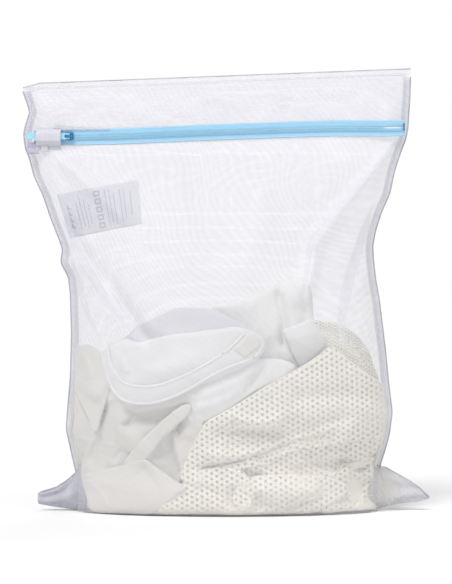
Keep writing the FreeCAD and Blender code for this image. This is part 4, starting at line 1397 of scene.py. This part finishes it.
BACK_COTTON = [(-152, 150), (-120, 158), (-80, 150), (-40, 156), (-8, 146), (4, 110), (-6, 60), (4, 4),
               (-60, 4), (-146, 4), (-156, 30), (-160, 80), (-158, 125)]
BACK_KNIT = [(-14, 150), (20, 160), (70, 152), (110, 160), (140, 150), (158, 128), (166, 100), (163, 64),
             (158, 40), (154, 6), (60, 4), (-24, 4), (-14, 50), (-26, 100)]
BACK_SHIRT = [(-110, 142), (-112, 162), (-94, 180), (-60, 194), (-24, 198), (4, 188), (18, 166), (8, 146),
              (-30, 132), (-80, 138)]
BACK_TOWEL = [(10, 150), (10, 186), (26, 208), (50, 222), (72, 222), (80, 200), (90, 172), (116, 168),
              (138, 152), (130, 136), (80, 128), (30, 134)]
BACK_FOLDS = [([(-140, 120), (-90, 80), (-60, 20)], 0.0028, 0, 0.012),
              ([(-120, 150), (-100, 100), (-110, 40)], 0.0035, 0.007),
              ([(-60, 140), (-30, 90), (-40, 30)], 0.0030, 0, -0.010),
              ([(0, 120), (60, 90), (130, 100)], 0.0028, 0, 0.012),
              ([(20, 20), (70, 60), (140, 60)], 0.0040, 0.008),
              ([(90, 150), (100, 100), (80, 30)], 0.0030, 0, -0.010),
              ([(-90, 190), (-60, 170), (0, 175)], 0.0028, 0, 0.010),
              ([(30, 215), (50, 180), (46, 150)], 0.0028, 0, -0.009),
              ([(70, 225), (80, 195), (120, 165)], 0.0035, 0.006)]


# lines of the doubled folds in the front net, and their width in millimetres
NET_FOLDS = [([(152, 318), (143, 280), (132, 245), (123, 212), (119, 190), (123, 166)], 11),
             ([(186, 392), (150, 345), (118, 308), (92, 280), (84, 250), (79, 222)], 9),
             ([(-166, 300), (-142, 262), (-120, 225), (-96, 188)], 13),
             ([(-160, 268), (-147, 236), (-138, 205), (-128, 180)], 8)]


def make_net_folds():
    """Folds where the front net lies doubled, each a tapered band just behind the panel."""
    for index, (points, width) in enumerate(NET_FOLDS):
        line = smooth_line(points, 70, closed=False)
        t = np.linspace(0, 1, len(line))[:, None]
        mix = np.linspace(0, 1, 8)[None, :]
        x = line[:, :1] - width * MM * mix * np.sin(math.pi * t) ** 0.6
        z = line[:, 1:] + 0.15 * (line[:, :1] - x)
        x, z = inside_seams(x, z)
        y = front_y(x, z, 0.0, 0.0012 + 0.0020 * mix)
        strip = grid_object("net_fold_%d" % (index + 1), x, y, z, (x, z))
        finish_piece(strip, FOLD_CLOTH, "bag", "mesh_cloth")


# name, garment, outline, depth behind the back panel, seed, radius of the turned rim, roughness
BACK_SHEETS = [
    ("cotton_back", "cotton", BACK_COTTON, 0.012, 71, 0.0022, 0.011),
    ("towel_back", "towel", BACK_TOWEL, 0.018, 72, 0.0040, 0.010),
    ("shirt_back", "shirt", BACK_SHIRT, 0.026, 73, 0.0022, 0.009),
    ("knit_back", "knit", BACK_KNIT, 0.010, 74, 0.0022, 0.011),
]


def make_load_back():
    """The same garments where they show at the bag's back, looser than in front."""
    for name, garment, outline, depth, seed, radius, rough in BACK_SHEETS:
        sheet = laid_sheet(name, outline, depth, BACK_FOLDS, seed, radius, rough=rough, side=1)
        lay(sheet, garment)


# garment, left, right, foot, top, front and back depth, seed, roughness, and room left in front
HEAPS = [
    ("cotton", -0.146, -0.020, 0.004, 0.146, 0.090, 0.090, 51, 0.006, 0.018),
    ("knit", -0.034, 0.150, 0.004, 0.146, 0.090, 0.090, 52, 0.006, 0.020),
    ("shirt", -0.096, 0.016, 0.130, 0.190, 0.090, 0.060, 53, 0.005, 0.022),
    ("towel", 0.020, 0.078, 0.130, 0.216, 0.026, 0.060, 54, 0.005, 0.012),
]


def make_heaps():
    """The bulk of each garment, behind the sheets that show."""
    for garment, *sizes in HEAPS:
        piece = heap(garment + "_heap", *sizes)
        material, slot, replaced = GARMENTS[garment]
        finish_piece(piece, material, "bag", slot, (replaced,))


def make_cotton():
    """The cream cotton at the lower left: its pressed front, and three layers that lie on it."""
    lay(laid_sheet("cotton_front", COTTON, 0.005, COTTON_FOLDS, 61, rough=0.0024), "cotton")
    for name, outline, back, lines in (("cotton_corner", COTTON_CORNER, 0.002, COTTON_CORNER_FOLDS),
                                       ("cotton_rib", COTTON_RIB, 0.003, []),
                                       ("cotton_flap", COTTON_FLAP, 0.001, COTTON_FLAP_FOLDS)):
        lay(laid_sheet(name, outline, back, lines, 68, 0.0014, rough=0.0016), "cotton")


def make_towel():
    """The towel, its paler corner, and the finer openwork beside it."""
    lay(laid_sheet("towel_front", TOWEL, 0.030, TOWEL_FOLDS, 62, 0.004), "towel")
    lay(laid_sheet("towel_corner", TOWEL_CORNER, 0.024, [], 63), "towel", WHITE_COTTON)
    openwork = knit_sheet("pointelle_back", POINTELLE, 0.030, POINTELLE_FOLDS, 64, 0.0034, 0.0008)
    lay(openwork, "pointelle")


def make_shirt():
    """The white shirt: a sleeve, the body behind, the body in front, a glimpse of its inside and its hem."""
    lay(laid_sheet("sleeve", SLEEVE, 0.006, SLEEVE_FOLDS, 65), "shirt")
    lay(laid_sheet("shirt_dome", SHIRT_DOME, 0.009, SHIRT_DOME_FOLDS, 70), "shirt",
        SHADED_COTTON)
    lay(laid_sheet("shirt_front", SHIRT, 0.004, SHIRT_FOLDS, 66, 0.0040, rough=0.0024), "shirt")
    # the white shirt's inside wears the darker cream cotton: painted shade
    lay(laid_sheet("shirt_inside", SHIRT_INSIDE, -0.0012, [], 69, 0.0008, rough=0.0006), "shirt",
        CREAM_COTTON)
    make_hem()


def make_knit():
    """The openwork knit in five rolls, each with a plain lining behind its holes, and what lies under."""
    lining_gap, coarse = 0.0029, 0.0026
    for name, outline, back, lines in (("knit_front", KNIT, 0.001, KNIT_FOLDS),
                                       ("knit_middle", KNIT_MIDDLE, 0.008, KNIT_MIDDLE_FOLDS),
                                       ("knit_lobe", KNIT_LOBE, 0.004, KNIT_LOBE_FOLDS),
                                       ("knit_tail", KNIT_TAIL, 0.003, KNIT_TAIL_FOLDS),
                                       ("knit_corner", KNIT_CORNER, 0.007, KNIT_CORNER_FOLDS)):
        lay(knit_sheet(name, outline, back, lines, 67), "knit")
        lining = laid_sheet(name + "_lining", outline, back + lining_gap, lines, 67, pitch=coarse)
        lay(lining, "knit")
    lay(laid_sheet("knit_under", KNIT_UNDER, 0.017, KNIT_MIDDLE_FOLDS, 75, pitch=coarse), "knit")


make_heaps()
make_cotton()
make_towel()
make_shirt()
make_knit()
make_load_back()
make_net_folds()


# ---- floor, light and camera ----
AMBIENT = 0.43                       # the sky's light on the bag; the camera sees it as plain white
FLOOR_WHITE = 0.875
# name, the way it shines, its power, and its width in degrees
LAMPS = [("key", (0.38, 0.76, -1.10), 2.35, 26), ("fill", (-0.8, 0.6, -0.5), 0.5, 60),
         ("back", (-0.5, -0.8, -0.9), 0.5, 40)]


def make_floor():
    """A white floor just under the bag."""
    floor_material, _, _ = new_material("floor_white", (FLOOR_WHITE,) * 3, 0.9)
    size = 8.0
    floor = mesh_object("floor", [(-size, -size, 0), (size, -size, 0), (size, size, 0), (-size, size, 0)],
                        [(0, 1, 2, 3)], smooth=False)
    floor.location.z = -0.0003
    floor.data.materials.append(floor_material)


def make_light():
    """A soft sky and three wide lamps."""
    world = bpy.data.worlds.new("studio")
    world.use_nodes = True
    sky = world.node_tree.nodes["Background"]
    sky.inputs["Color"].default_value = (1, 1, 1, 1)
    rays = node(world.node_tree, "LightPath")
    strength = math_node(world.node_tree, "MULTIPLY_ADD", rays.outputs["Is Camera Ray"], 1 - AMBIENT, AMBIENT)
    world.node_tree.links.new(strength, sky.inputs["Strength"])
    bpy.context.scene.world = world
    for name, aim, power, spread in LAMPS:
        light = bpy.data.lights.new(name, "SUN")
        light.energy = power
        light.angle = math.radians(spread)
        lamp = link(bpy.data.objects.new(name, light))
        lamp.rotation_euler = Vector(aim).to_track_quat("-Z", "Y").to_euler()


def make_camera():
    """A long lens from the front, just above level, that frames the bag as it stands in the picture."""
    distance, elevation = 3.0, math.radians(1.5)
    aim = Vector((-0.0004, 0, 0.2255))
    frame_height = 0.602
    camera = bpy.data.cameras.new("camera")
    camera.sensor_width = 36
    camera.lens = 36 * distance / frame_height
    shot = link(bpy.data.objects.new("camera", camera))
    shot.location = aim + distance * Vector((0, -math.cos(elevation), math.sin(elevation)))
    shot.rotation_euler = (aim - shot.location).to_track_quat("-Z", "Y").to_euler()
    bpy.context.scene.camera = shot
    bpy.context.scene.view_settings.view_transform = "Standard"


make_floor()
make_light()
make_camera()
